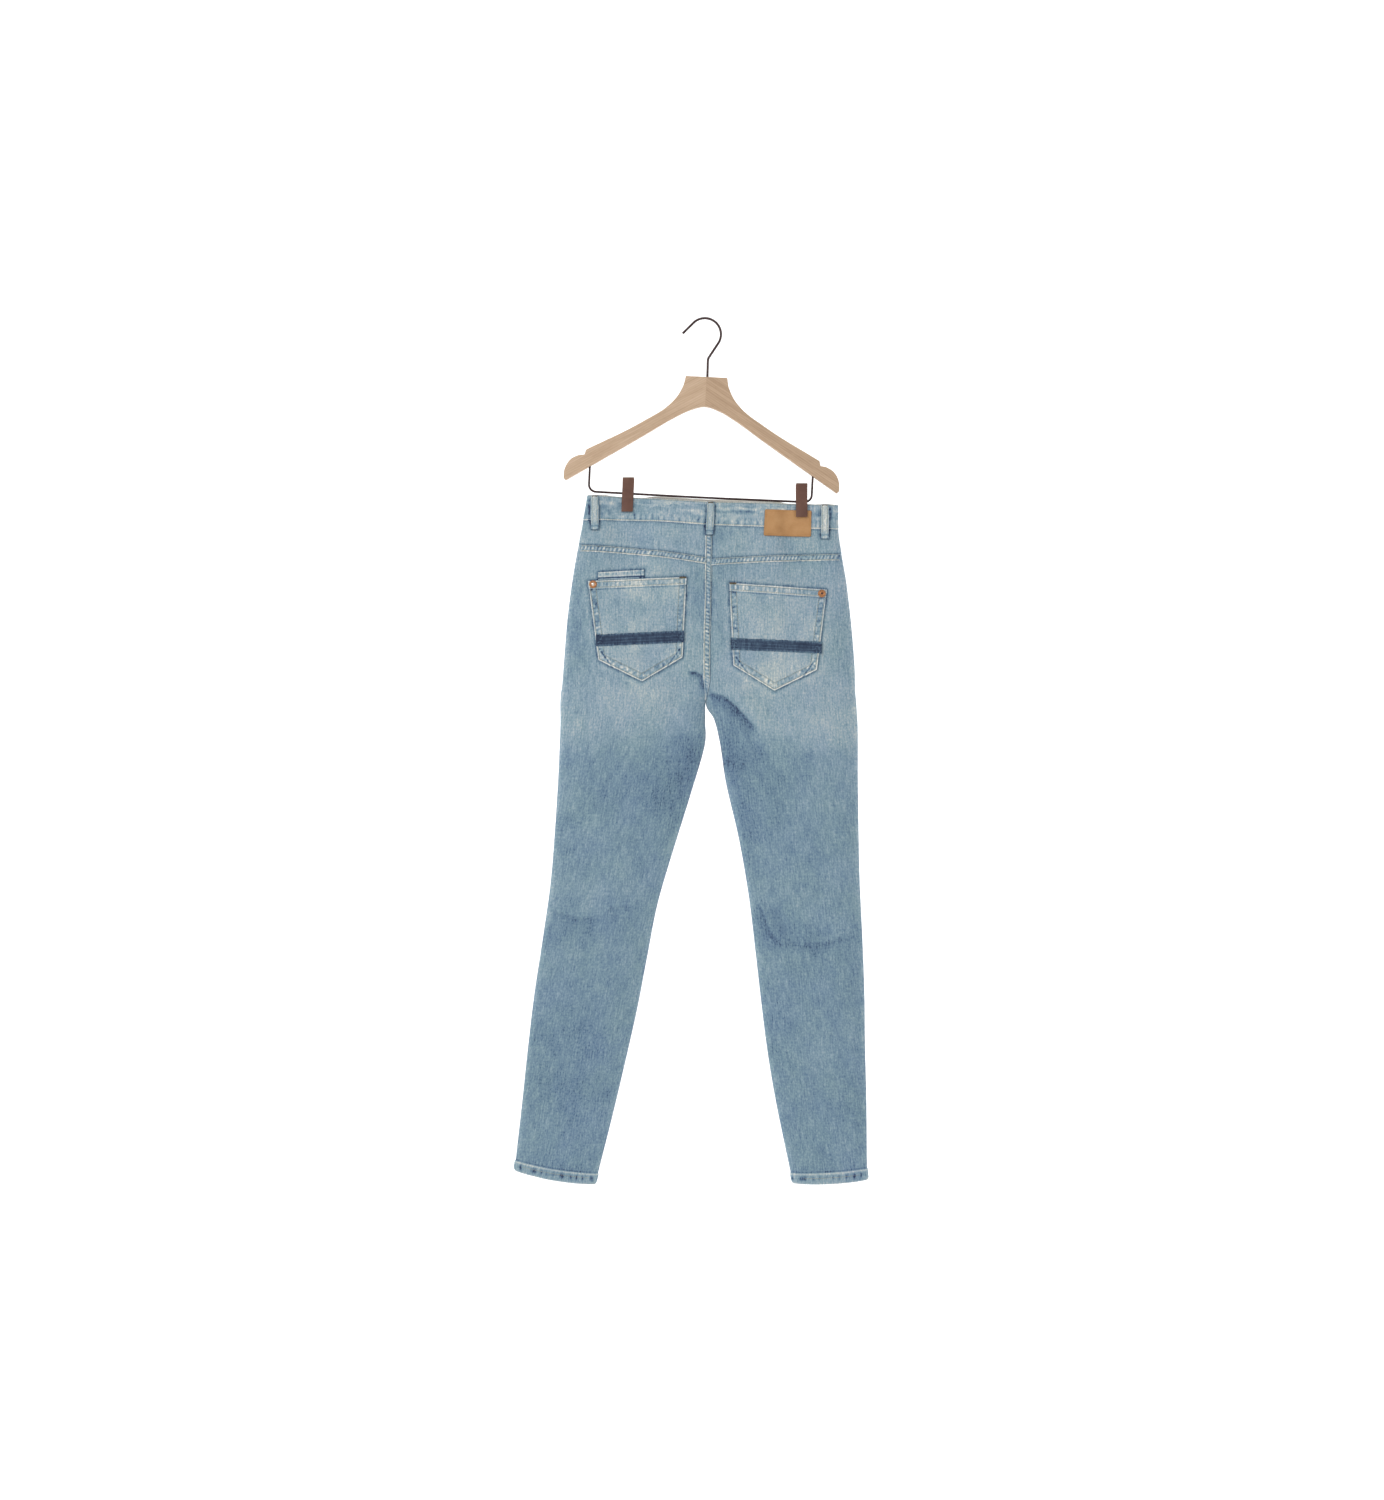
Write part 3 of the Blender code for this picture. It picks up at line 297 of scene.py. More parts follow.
def fold_height(folds, face, x, drop):
    """Sum of the folds at points of one face."""
    total = np.zeros_like(x)
    for fold_face, start, middle, end, width, height in folds:
        if fold_face != face:
            continue
        fold_xs, fold_drops = zip(start, middle, end)
        margin = 4 * width
        near = (x > min(fold_xs) - margin) & (x < max(fold_xs) + margin)
        near &= (drop > min(fold_drops) - margin) & (drop < max(fold_drops) + margin)
        xs, drops = x[near], drop[near]
        strongest = np.zeros_like(xs)
        for t in np.linspace(0.05, 0.95, FOLD_STEPS):
            # The curve passes through its middle point at t = 0.5.
            at = [
                a * (1 - t) * (1 - 2 * t) + m * 4 * t * (1 - t) + b * t * (2 * t - 1)
                for a, m, b in zip(start, middle, end)
            ]
            away = ((xs - at[0]) ** 2 + (drops - at[1]) ** 2) / width**2
            here = height * math.sin(math.pi * t) * np.exp(-away)
            strongest = np.where(np.abs(here) > np.abs(strongest), here, strongest)
        total[near] += strongest
    return total


def noise(u, v, seed):
    """Smooth random heights from -1 to 1, with a cell of one unit."""
    table = np.random.default_rng(seed).uniform(-1, 1, (NOISE_CELLS, NOISE_CELLS))
    u0, v0 = np.floor(u).astype(int), np.floor(v).astype(int)
    a, b = (t * t * t * (t * (t * 6 - 15) + 10) for t in (u - u0, v - v0))

    def corner(i, j):
        return table[(u0 + i) % NOISE_CELLS, (v0 + j) % NOISE_CELLS]

    low = corner(0, 0) * (1 - a) + corner(1, 0) * a
    high = corner(0, 1) * (1 - a) + corner(1, 1) * a
    return low * (1 - b) + high * b


def undulation(face, x, drop):
    """The soft unevenness of washed cloth."""
    seed = 11 if face == BACK else 23
    wide = noise(x / 46 + 7, drop / 88, seed) * 0.9
    middle = noise(x / 21 + 3, drop / 39, seed + 1) * 0.32
    small = noise(x / 8.5, drop / 13, seed + 2) * 0.09
    return (wide + middle + small) * (1 - 0.8 * pinch(x, drop))


class Side:
    """The left or right side of the jeans."""

    def __init__(self, hand, sections):
        self.hand = hand
        rows = np.array(list(sections.values()), float)
        self.columns = dict(zip(SECTION_COLUMNS, rows.T))

    def read(self, column, station):
        return spline(self.columns[column], station)

    def width(self, station):
        return np.abs(self.read("outer_x", station) - self.read("inner_x", station))

    def opening(self, station):
        return np.clip(self.read("opening", station), 0, 1)

    def inner_cosine(self, station):
        return (1 - self.opening(station) ** FLATNESS) ** (1 / FLATNESS)

    def edges(self, station, out):
        """x of the inner and outer edges of a surface moved out from the garment's own."""
        outer = self.read("outer_x", station) + self.hand * out
        closed = 1 - self.opening(station)
        inner = self.read("inner_x", station) + self.hand * (SEWN_GAP / 2 - out * closed)
        return inner, outer

    def place(self, station, across, out):
        """x and drop at a share across the section, from 0 at the inner edge to 1."""
        inner, outer = self.edges(station, out)
        x = inner + (outer - inner) * across
        inner_drop = self.read("inner_drop", station)
        rise = self.read("bow", station) * 4 * across * (1 - across)
        return x, inner_drop + (self.read("outer_drop", station) - inner_drop) * across - rise

    def height(self, face, station, across, x, drop, out, seam=SEWN_GAP / 2):
        """How far a surface stands from the plane y = 0."""
        depth = self.read("half_depth", station)
        if face == FRONT:
            depth = depth * FRONT_DEPTH_SHARE
        depth = CLIPPED_HALF_DEPTH + (depth - CLIPPED_HALF_DEPTH) * (1 - pinch(x, drop))
        start = self.inner_cosine(station)
        rounding = power_sine(start - across * (start + 1))
        relief = fold_height(FOLDS, face, x, drop) + fold_height(FINE_FOLDS, face, x, drop)
        relief = relief + undulation(face, x, drop)
        if face == BACK:
            relief = relief + crease_shape(x, drop)[1]
        return seam + (depth + relief + out - seam) * rounding

    def surface(self, face, station, across, out):
        """x, height and drop of a surface moved out from the garment's own."""
        x, drop = self.place(station, across, out)
        return x, face * self.height(face, station, across, x, drop, out), drop

    def columns_across(self, station, count):
        """Shares across the section, closer together towards its folded edges."""
        start = self.inner_cosine(station)[:, None]
        first = np.arccos(start ** (FLATNESS / 2))
        angle = first + (math.pi - first) * np.linspace(0, 1, count)[None, :]
        cosine = np.sign(np.cos(angle)) * np.abs(np.cos(angle)) ** (2 / FLATNESS)
        rounded = (start - cosine) / (start + 1)
        return 0.45 * rounded + 0.55 * np.linspace(0, 1, count)[None, :]

    def locate(self, x, drop):
        """The station and the share across it of points on the garment."""
        station = np.interp(drop, self.columns["inner_drop"], np.arange(len(STATION)))
        for _ in range(8):
            inner, outer = self.edges(station, 0.0)
            across = np.clip((x - inner) / (outer - inner), 0, 1)
            here = self.place(station, across, 0.0)[1]
            slope = (self.place(station + 0.01, across, 0.0)[1] - here) / 0.01
            station = np.clip(station + (drop - here) / slope, 0, len(STATION) - 1)
        return station, across

    def lay(self, face, x, drop, out):
        """x, height and drop of a piece that lies on the garment, moved out by out."""
        x, drop = np.broadcast_arrays(np.asarray(x, float), np.asarray(drop, float))
        station, across = self.locate(x, drop)
        y = self.height(face, station, across, x, drop, 0.0)
        return x, face * (y + out), drop


SIDES = {"left": Side(LEFT, LEFT_SECTIONS), "right": Side(RIGHT, RIGHT_SECTIONS)}


def points(x, y, drop):
    """World points, in metres, from millimetres."""
    return np.stack(np.broadcast_arrays(x, y, -np.asarray(drop, float)), axis=-1) * MM


def smoothstep(low, high, value):
    t = np.clip((value - low) / (high - low), 0, 1)
    return t * t * (3 - 2 * t)


def to_segments(x, drop, corners, closed=True):
    """Distance to a line of segments, how far along it the nearest point is, and on which side."""
    ends = list(corners[1:]) + ([corners[0]] if closed else [])
    best = np.full(np.shape(x), 1e9)
    along, side = np.zeros(np.shape(x)), np.zeros(np.shape(x))
    run = 0.0
    for a, b in zip(corners, ends):
        length = math.dist(a, b)
        dx, dy = (b[0] - a[0]) / length, (b[1] - a[1]) / length
        t = np.clip((x - a[0]) * dx + (drop - a[1]) * dy, 0, length)
        away = np.hypot(x - a[0] - t * dx, drop - a[1] - t * dy)
        nearer = away < best
        best = np.where(nearer, away, best)
        along = np.where(nearer, run + t, along)
        side = np.where(nearer, dx * (drop - a[1]) - dy * (x - a[0]), side)
        run += length
    return best, along, side


def crease_shape(x, drop):
    """The painted shadow of the pressed creases of the back, and how deep they are, at points."""
    shade, depth = np.zeros_like(x), np.zeros_like(x)
    for line, dark, reach in CREASES:
        total = sum(math.dist(a, b) for a, b in zip(line, line[1:]))
        away, along, side = to_segments(x, drop, line, closed=False)
        ends = smoothstep(0, total * 0.12, along) * (1 - smoothstep(total * 0.62, total, along))
        lower = side > 0
        # Painted shadow: dark on the crease line, reaching further down its lower side.
        shade = shade - dark * ends * np.where(lower, np.exp(-away / reach), np.exp(-((away / 1.5) ** 2)))
        hollow, lip = 1.6 * np.exp(-away / (0.6 * reach)), -1.2 * bump_line(away - 3, 3.5)
        depth = depth - ends * np.where(lower, hollow, lip)
    return shade, depth


def bump_line(distance, width):
    """1 on a line, falling smoothly to 0 at its width."""
    return np.exp(-((distance / width) ** 2))


# How washed the denim of each face is, from 0, unfaded, to 1, worn white: drops, and the tones there.
FADES = {
    BACK: (
        (260, 320, 360, 420, 560, 625, 668, 760, 880, 940, 1060, 1180, 1290, 1312),
        (0.66, 0.66, 0.635, 0.655, 0.68, 0.65, 0.50, 0.475, 0.50, 0.48, 0.465, 0.46, 0.47, 0.5),
    ),
    FRONT: (
        (260, 330, 420, 560, 700, 860, 960, 1180, 1290, 1312),
        (0.62, 0.58, 0.56, 0.54, 0.50, 0.50, 0.47, 0.455, 0.46, 0.48),
    ),
}
FADE_SEED = {BACK: 71, FRONT: 75}
# Blobs that change it: the face, centre x and drop, half width and height, and the change. The dark ones
# below the fork paint the shade under the crotch's folds as well as less washed cloth.
FADE_AND_SHADE_BLOBS = (
    (BACK, -95, 452, 62, 40, 0.02),
    (BACK, -100, 528, 60, 22, -0.08),
    (BACK, 106, 462, 62, 42, 0.05),
    (BACK, 124, 536, 62, 24, 0.06),
    (BACK, -110, 585, 66, 40, 0.035),
    (BACK, -52, 600, 30, 40, 0.05),
    (BACK, 130, 610, 66, 40, 0.03),
    (BACK, 196, 640, 38, 120, 0.05),
    # Below the back's fork: painted shade under the crotch's folds, with less washed cloth.
    (BACK, -8, 640, 30, 60, -0.13),
    (BACK, 30, 646, 26, 56, -0.13),
    (BACK, -42, 662, 34, 66, -0.12),
    (BACK, 56, 652, 40, 50, -0.12),
    (BACK, 90, 706, 60, 60, -0.02),
    (BACK, 150, 700, 40, 50, -0.04),
    (BACK, -120, 684, 60, 40, -0.07),
    (BACK, -60, 740, 50, 60, -0.07),
    (BACK, 62, 760, 26, 60, -0.07),
    (BACK, 150, 752, 60, 56, 0.03),
    (BACK, -196, 640, 30, 40, 0.04),
    (BACK, -196, 476, 30, 84, -0.2),
    (BACK, 216, 500, 30, 60, -0.14),
    (BACK, -205, 640, 26, 70, -0.04),
    (BACK, -196, 395, 26, 30, -0.06),
    (BACK, 20, 455, 18, 60, -0.08),
    (BACK, -16, 430, 18, 50, -0.10),
    (BACK, 10, 400, 60, 22, -0.04),
    (BACK, -90, 372, 90, 12, 0.03),
    (BACK, -160, 860, 50, 40, 0.03),
    (BACK, -175, 910, 60, 50, -0.03),
    (BACK, -205, 1060, 60, 80, -0.045),
    (BACK, -120, 905, 30, 26, -0.06),
    (BACK, -150, 1000, 40, 60, 0.02),
    (BACK, 110, 920, 30, 30, -0.08),
    (BACK, 190, 942, 50, 24, -0.045),
    (BACK, 200, 860, 40, 60, 0.01),
    (BACK, 130, 980, 40, 40, -0.02),
    (BACK, -230, 1140, 30, 80, -0.03),
    (BACK, 170, 1120, 40, 50, 0.03),
    (BACK, -200, 1200, 60, 60, -0.04),
    (BACK, 60, 340, 60, 14, 0.02),
    (BACK, -60, 338, 60, 14, -0.03),
    (BACK, 22, 330, 12, 14, -0.2),
    (FRONT, -130, 590, 52, 150, 0.13),
    (FRONT, 140, 600, 52, 150, 0.13),
    (FRONT, -170, 880, 50, 50, 0.06),
    (FRONT, 155, 884, 50, 50, 0.06),
    # Below the front's fork: painted shade under the crotch's folds, with less washed cloth.
    (FRONT, -10, 640, 30, 70, -0.1),
    (FRONT, 28, 640, 30, 70, -0.1),
)


def fade_and_shade(face, x, drop):
    """How washed the cloth is at points of one face, with painted shade in its folds and creases."""
    tone = np.interp(drop, *FADES[face])
    for blob_face, at_x, at_drop, width, height, change in FADE_AND_SHADE_BLOBS:
        if blob_face == face:
            away = ((x - at_x) / width) ** 2 + ((drop - at_drop) / height) ** 2
            tone = tone + change * np.exp(-away)
    seed = FADE_SEED[face]
    tone = tone + 0.030 * noise(x / 34, drop / 52, seed) + 0.022 * noise(x / 13, drop / 24, seed + 1)
    # Painted shade in the folds' hollows and painted highlight on their ridges.
    creases = fold_height(FINE_FOLDS, face, x, drop) + 0.5 * fold_height(FOLDS, face, x, drop)
    tone = tone + 0.035 * np.clip(creases, -2.5, 2)
    # The back also gets the painted shadow of its pressed creases.
    return tone + crease_shape(x, drop)[0] if face == BACK else tone


# ------------------------------------------------------------------ materials

# Denim's colour along the scale of tones, once a tone is multiplied by its share.
TONE_SHARE = 0.8
DENIM_TONES = (
    (0.00, (32, 49, 78)),
    (0.11, (62, 84, 110)),
    (0.22, (91, 118, 141)),
    (0.34, (110, 138, 155)),
    (0.43, (125, 152, 163)),
    (0.53, (141, 164, 175)),
    (0.62, (158, 176, 182)),
    (0.72, (178, 189, 189)),
    (0.80, (200, 204, 197)),
    (1.00, (240, 237, 226)),
)


def bluer(colour):
    """The same tone where more indigo is left in the cloth."""
    red, green, blue = colour
    return red - 2, green - 3, min(255, blue + 3)


def linear(colour):
    """A display colour of 0 to 255 as linear light."""
    shares = np.array(colour, float) / 255
    dark = shares / 12.92
    return tuple(np.where(shares <= 0.04045, dark, ((shares + 0.055) / 1.055) ** 2.4))


class Shader:
    """A short way to write a material's nodes."""

    def __init__(self, name, roughness, metallic=0.0, **constants):
        self.material = bpy.data.materials.new(name)
        self.material.use_nodes = True
        self.tree = self.material.node_tree
        self.surface = self.tree.nodes["Principled BSDF"]
        self.surface.inputs["Roughness"].default_value = roughness
        self.surface.inputs["Metallic"].default_value = metallic
        for socket, value in constants.items():
            self.surface.inputs[socket.replace("_", " ")].default_value = value

    def put(self, socket, value):
        if isinstance(value, bpy.types.NodeSocket):
            self.tree.links.new(value, socket)
        else:
            socket.default_value = value

    def node(self, kind, out=0, **inputs):
        made = self.tree.nodes.new(kind)
        for name, value in inputs.items():
            if hasattr(made, name):
                setattr(made, name, value)
            else:
                numbered = name[0] == "i" and name[1:].isdigit()
                self.put(made.inputs[int(name[1:]) if numbered else name], value)
        return made.outputs[out]

    def math(self, operation, a, b=0.0):
        return self.node("ShaderNodeMath", operation=operation, i0=a, i1=b)

    def add(self, total, *parts):
        """A value with others added to it, each times its weight."""
        for value, weight in parts:
            total = self.math("ADD", total, self.math("MULTIPLY", value, weight))
        return total

    def attribute(self, name, out="Fac"):
        return self.node("ShaderNodeAttribute", out=out, attribute_name=name)

    def scaled(self, vector, scale):
        return self.node("ShaderNodeMapping", Vector=vector, Scale=scale)

    def noise(self, vector, scale, detail=2.0, roughness=0.55, centred=True):
        where = self.scaled(vector, scale)
        value = self.node("ShaderNodeTexNoise", Vector=where, Scale=1.0, Detail=detail, Roughness=roughness)
        return self.math("SUBTRACT", value, 0.5) if centred else value

    def wave(self, vector, scale, bands="X", distortion=0.0):
        where = self.scaled(vector, scale)
        return self.node(
            "ShaderNodeTexWave", bands_direction=bands, Vector=where, Scale=1.0, Distortion=distortion
        )

    def ramp(self, value, stops):
        made = self.tree.nodes.new("ShaderNodeValToRGB")
        ramp = made.color_ramp
        while len(ramp.elements) < len(stops):
            ramp.elements.new(1.0)
        for element, (position, colour) in zip(ramp.elements, stops):
            element.position = position
            element.color = (*linear(colour), 1)
        self.put(made.inputs[0], value)
        return made.outputs[0]

    def colour(self, value):
        self.put(self.surface.inputs["Base Color"], value)

    def bump(self, height, distance, strength=1.0):
        made = self.tree.nodes.new("ShaderNodeBump")
        made.inputs["Strength"].default_value = strength
        made.inputs["Distance"].default_value = distance
        self.put(made.inputs["Height"], height)
        self.tree.links.new(made.outputs[0], self.surface.inputs["Normal"])


def denim_material():
    shader = Shader("denim", 0.9, Sheen_Weight=0.1, Sheen_Roughness=0.6)
    grain = shader.attribute("grain", "Vector")  # millimetres across and down the cloth
    tone = shader.attribute("tone")
    slubs = shader.noise(grain, (0.48, 0.048, 1), 2.5)
    weft = shader.noise(grain, (0.06, 0.5, 1), 2.0)
    specks = shader.noise(grain, (0.44, 0.27, 1), 3.0, 0.65)
    mottle = shader.noise(grain, (0.14, 0.06, 1), 2.0)
    clouds = shader.noise(grain, (0.035, 0.02, 1), 3.0)
    marks = (slubs, 0.66), (weft, 0.66 * 0.28), (specks, 0.95), (mottle, 0.2), (clouds, 0.26)
    total = shader.math("MULTIPLY", shader.add(tone, *marks), TONE_SHARE)
    grey = shader.ramp(total, DENIM_TONES)
    blue = shader.ramp(total, [(at, bluer(colour)) for at, colour in DENIM_TONES])
    patches = shader.noise(grain, (0.016, 0.011, 1), 3.0, centred=False)
    share = shader.node("ShaderNodeMapRange", Value=patches, i1=0.36, i2=0.70)
    mixed = shader.tree.nodes.new("ShaderNodeMix")
    mixed.data_type = "RGBA"
    for socket, value in ((0, share), (6, grey), (7, blue)):
        shader.put(mixed.inputs[socket], value)
    shader.colour(mixed.outputs[2])
    twill = shader.wave(grain, (0.62, 0.36, 1), "DIAGONAL", 1.5)
    threads = shader.noise(grain, (1.6, 0.25, 1), 1.0)
    height = shader.math("ADD", shader.math("MULTIPLY", twill, 0.35), slubs)
    height = shader.math("ADD", height, threads)
    shader.bump(height, 0.0005, 0.9)
    return shader.material


def dark_band_material():
    shader = Shader("dark_denim", 0.92, Sheen_Weight=0.1)
    grain = shader.attribute("grain", "Vector")
    tone = shader.attribute("tone")
    rows = shader.wave(grain, (0.01, 0.42, 1), "Y", 0.8)
    streaks = shader.noise(grain, (0.12, 0.9, 1), 3.0)
    slubs = shader.noise(grain, (0.8, 0.16, 1), 2.0)
    total = shader.add(tone, (shader.math("SUBTRACT", rows, 0.5), 0.09), (streaks, 0.24), (slubs, 0.3))
    total = shader.math("MULTIPLY", total, TONE_SHARE)
    shader.colour(shader.ramp(total, DENIM_TONES))
    shader.bump(shader.math("ADD", rows, slubs), 0.0005, 0.8)
    return shader.material


def thread_material(name, deep, pale):
    shader = Shader(name, 0.75)
    where = shader.node("ShaderNodeTexCoord", out="Object")
    wear = shader.noise(where, (220, 220, 220), 2.0, centred=False)
    shader.colour(shader.ramp(wear, ((0.3, deep), (0.7, pale))))
    strands = shader.wave(where, (1600, 1600, 1600), "DIAGONAL")
    shader.bump(strands, 0.00012, 0.6)
    return shader.material


def leather_material():
    shader = Shader("patch_leather", 0.6)
    where = shader.attribute("grain", "Vector")
    tone = shader.attribute("tone")
    clouds = shader.noise(where, (0.09, 0.09, 1), 3.0)
    grain = shader.noise(where, (1.3, 1.3, 1), 3.0)
    total = shader.add(tone, (clouds, 0.35), (grain, 0.22))
    stops = ((0.0, (112, 74, 40)), (0.45, (172, 126, 78)), (0.6, (183, 138, 90)), (1.0, (205, 166, 122)))
    shader.colour(shader.ramp(total, stops))
    pores = shader.node("ShaderNodeTexVoronoi", Vector=shader.scaled(where, (1.1, 1.1, 1)), Scale=1.0)
    shader.bump(shader.math("ADD", pores, grain), 0.00018, 0.7)
    return shader.material


def metal_material(name, colours, roughness, metallic, spots):
    shader = Shader(name, roughness, metallic)
    where = shader.node("ShaderNodeTexCoord", out="Object")
    wear = shader.noise(where, (spots,) * 3, 3.0, 0.6, centred=False)
    shader.colour(shader.ramp(wear, ((0.32, colours[0]), (0.55, colours[1]), (0.75, colours[2]))))
    fine = shader.noise(where, (spots * 6,) * 3, 2.0, centred=False)
    rough = shader.math("MULTIPLY_ADD", fine, 0.22)
    shader.put(rough.node.inputs[2], roughness - 0.08)
    shader.put(shader.surface.inputs["Roughness"], rough)
    shader.bump(fine, 0.00008, 0.5)
    return shader.material


def wood_material():
    shader = Shader("beech", 0.55, Coat_Weight=0.05)
    where = shader.attribute("grain", "Vector")  # millimetres along and across each half's grain
    tone = shader.attribute("tone")
    broad = shader.noise(where, (0.012, 0.16, 0.16), 3.0)
    fine = shader.noise(where, (0.035, 0.9, 0.9), 3.0)
    flecks = shader.noise(where, (0.11, 2.0, 2.0), 1.0, centred=False)
    flecks = shader.math("GREATER_THAN", flecks, 0.66)
    figure = shader.wave(where, (0.004, 0.1, 0.1), "Y", 5.0)
    total = shader.add(tone, (broad, 0.42), (fine, 0.30), (shader.math("SUBTRACT", figure, 0.5), 0.10))
    total = shader.math("SUBTRACT", total, shader.math("MULTIPLY", flecks, 0.10))
    stops = (
        (0.0, (136, 106, 78)),
        (0.35, (170, 141, 113)),
        (0.55, (190, 162, 134)),
        (0.75, (204, 178, 152)),
        (1.0, (222, 200, 176)),
    )
    shader.colour(shader.ramp(total, stops))
    shader.bump(shader.math("SUBTRACT", fine, shader.math("MULTIPLY", flecks, 0.6)), 0.0003, 0.6)
    return shader.material


DENIM = denim_material()
DARK_DENIM = dark_band_material()
LEATHER = leather_material()
THREAD = thread_material("thread", (134, 132, 112), (184, 180, 156))
BARTACK = thread_material("bartack_thread", (70, 66, 52), (116, 100, 76))
COPPER = metal_material("copper", ((124, 80, 50), (182, 126, 84), (212, 162, 118)), 0.40, 0.5, 900)
BRIGHT = metal_material("rivet_cap", ((206, 196, 184), (236, 230, 222), (250, 247, 242)), 0.25, 0.8, 700)
BRONZE = metal_material("bronze_wire", ((46, 28, 28), (60, 38, 38), (76, 52, 50)), 0.55, 0.15, 300)
CLIP_BROWN = metal_material("clip_coating", ((92, 60, 49), (100, 67, 54), (108, 75, 61)), 0.5, 0.1, 60)
WOOD = wood_material()

# ------------------------------------------------------------------ meshes


def set_attribute(mesh, name, kind, values):
    attribute = mesh.attributes.new(name, kind, "POINT")
    field = "value" if kind == "FLOAT" else "vector"
    attribute.data.foreach_set(field, np.ascontiguousarray(values, np.float32).ravel())


def linked(name, data):
    """A new object of the scene."""
    obj = bpy.data.objects.new(name, data)
    bpy.context.scene.collection.objects.link(obj)
    return obj


def finished(name, mesh, material, sharp=0):
    """An object of a mesh, shaded smooth, with edges over so many degrees left sharp."""
    mesh.shade_smooth()
    if sharp:
        mesh.set_sharp_from_angle(angle=math.radians(sharp))
    mesh.materials.append(material)
    return linked(name, mesh)


def shown(obj, nodes=()):
    """Makes an object a piece of the jeans or the hanger, riding on the frame."""
    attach(obj, "root")
    if nodes:
        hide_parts(*nodes)
    return obj


def mesh_piece(name, corners, faces, material, nodes=(), tone=None, grain=None, sharp=50):
    """A piece of the object from points and faces."""
    mesh = bpy.data.meshes.new(name)
    mesh.vertices.add(len(corners))
    mesh.vertices.foreach_set("co", np.ascontiguousarray(corners, np.float32).ravel())
    sizes = faces.shape[1]
    mesh.loops.add(faces.size)
    mesh.loops.foreach_set("vertex_index", faces.ravel().astype(np.int32))
    mesh.polygons.add(len(faces))
    mesh.polygons.foreach_set("loop_start", np.arange(0, faces.size, sizes, dtype=np.int32))
    mesh.update(calc_edges=True)
    mesh.validate()
    if tone is not None:
        set_attribute(mesh, "tone", "FLOAT", tone)
        set_attribute(mesh, "grain", "FLOAT_VECTOR", grain)
    return shown(finished(name, mesh, material, sharp), nodes)


def quads(a, b, c, d):
    return np.stack([a, b, c, d], axis=-1).reshape(-1, 4)


def shell(name, grids, tone, grain, nodes=(), material=DENIM, lining=0.12, contrast=1.0):
    """A closed cloth wall between two grids of points that lie over each other."""
    outer, inner = grids
    rows, columns = outer.shape[:2]
    index = np.arange(rows * columns).reshape(rows, columns)
    far = index + rows * columns
    faces = [
        quads(index[:-1, :-1], index[:-1, 1:], index[1:, 1:], index[1:, :-1]),
        quads(far[:-1, :-1], far[1:, :-1], far[1:, 1:], far[:-1, 1:]),
    ]
    for edge, flip in ((np.s_[0], True), (np.s_[-1], False), (np.s_[:, 0], False), (np.s_[:, -1], True)):
        near_edge, far_edge = index[edge], far[edge]
        if flip:
            near_edge, far_edge = far_edge, near_edge
        faces.append(quads(near_edge[:-1], near_edge[1:], far_edge[1:], far_edge[:-1]))
    faces = np.concatenate(faces)
    middle = (rows // 2, columns // 2)
    a, b, c = outer[middle], outer[middle[0], middle[1] + 1], outer[middle[0] + 1, middle[1]]
    normal = np.cross(b - a, c - a)
    if np.dot(normal, outer[middle] - inner[middle]) < 0:
        faces = faces[:, ::-1]
    corners = np.concatenate([outer.reshape(-1, 3), inner.reshape(-1, 3)])
    tone = np.broadcast_to(tone, (rows, columns)).ravel()
    tone = np.median(tone) + (tone - np.median(tone)) * contrast
    tones = np.concatenate([tone, tone + lining])
    grains = np.concatenate([grain.reshape(-1, 3)] * 2)
    return mesh_piece(name, corners, faces, material, nodes, tones, grains)


def flat_grain(x, drop):
    """The cloth's own coordinates where its grain runs down the garment."""
    return np.stack(np.broadcast_arrays(x, drop, 0.0), axis=-1)


def leg_grain(side, face, x, drop):
    """The cloth's own coordinates, which lean with the leg below the fork."""
    below = np.maximum(drop - LEAN_TOP_DROP, 0)
    below = below**2 / (below + LEAN_EASE)
    across = x - LEG_LEAN[side.hand] * below + (FRONT_CUT_APART if face == FRONT else 0.0)
    return np.stack(np.broadcast_arrays(across, drop, 0.0), axis=-1)


def ticks(along, pitch, seed):
    """The uneven rhythm of puckers along a row of stitches, from -1 to 1."""
    level = np.zeros_like(along) + 0.5
    drift = noise(along / 23.0, level, seed) * 0.9
    size = 0.65 + 0.35 * noise(along / 9.0, level, seed + 1)
    return np.sin(2 * math.pi * (along / pitch + drift)) * size


# ------------------------------------------------------------------ leg panels and yokes


def pocket_outline(pocket):
    """The corners of a patch pocket in order, as x and drop."""
    _, top_outer, top_inner, bottom_outer, tip, bottom_inner = pocket
    return (top_outer, top_inner, bottom_inner, tip, bottom_outer)


def grid_of(stations, across):
    """The stations of rows, spread over a grid as wide as another."""
    return np.broadcast_to(stations[:, None], across.shape)


def stations_every(side, top, bottom, step):
    """Stations from one to another, about so many millimetres apart."""
    drops = side.columns["inner_drop"]
    index = np.arange(len(drops))
    high, low = np.interp([top, bottom], index, drops)
    count = max(2, round((low - high) / step) + 1)
    return np.interp(np.linspace(high, low, count), drops, index)


def seam_step(side, station):
    """Half a seam gap, as a share of the stretch below a station."""
    drops = side.columns["inner_drop"]
    return SEWN_GAP / 2 / (drops[station + 1] - drops[station])


def loop_place(hand, top_x):
    """A belt loop's side, and the drops of the waistband's edges under it."""
    side = SIDES[SIDE_NAME[hand]]
    share = abs(top_x - CENTRE_FRONT_X) / HALF_WAIST
    return side, side.place(np.array([0.0, 1.0]), np.array([share, share]), 0.0)[1]


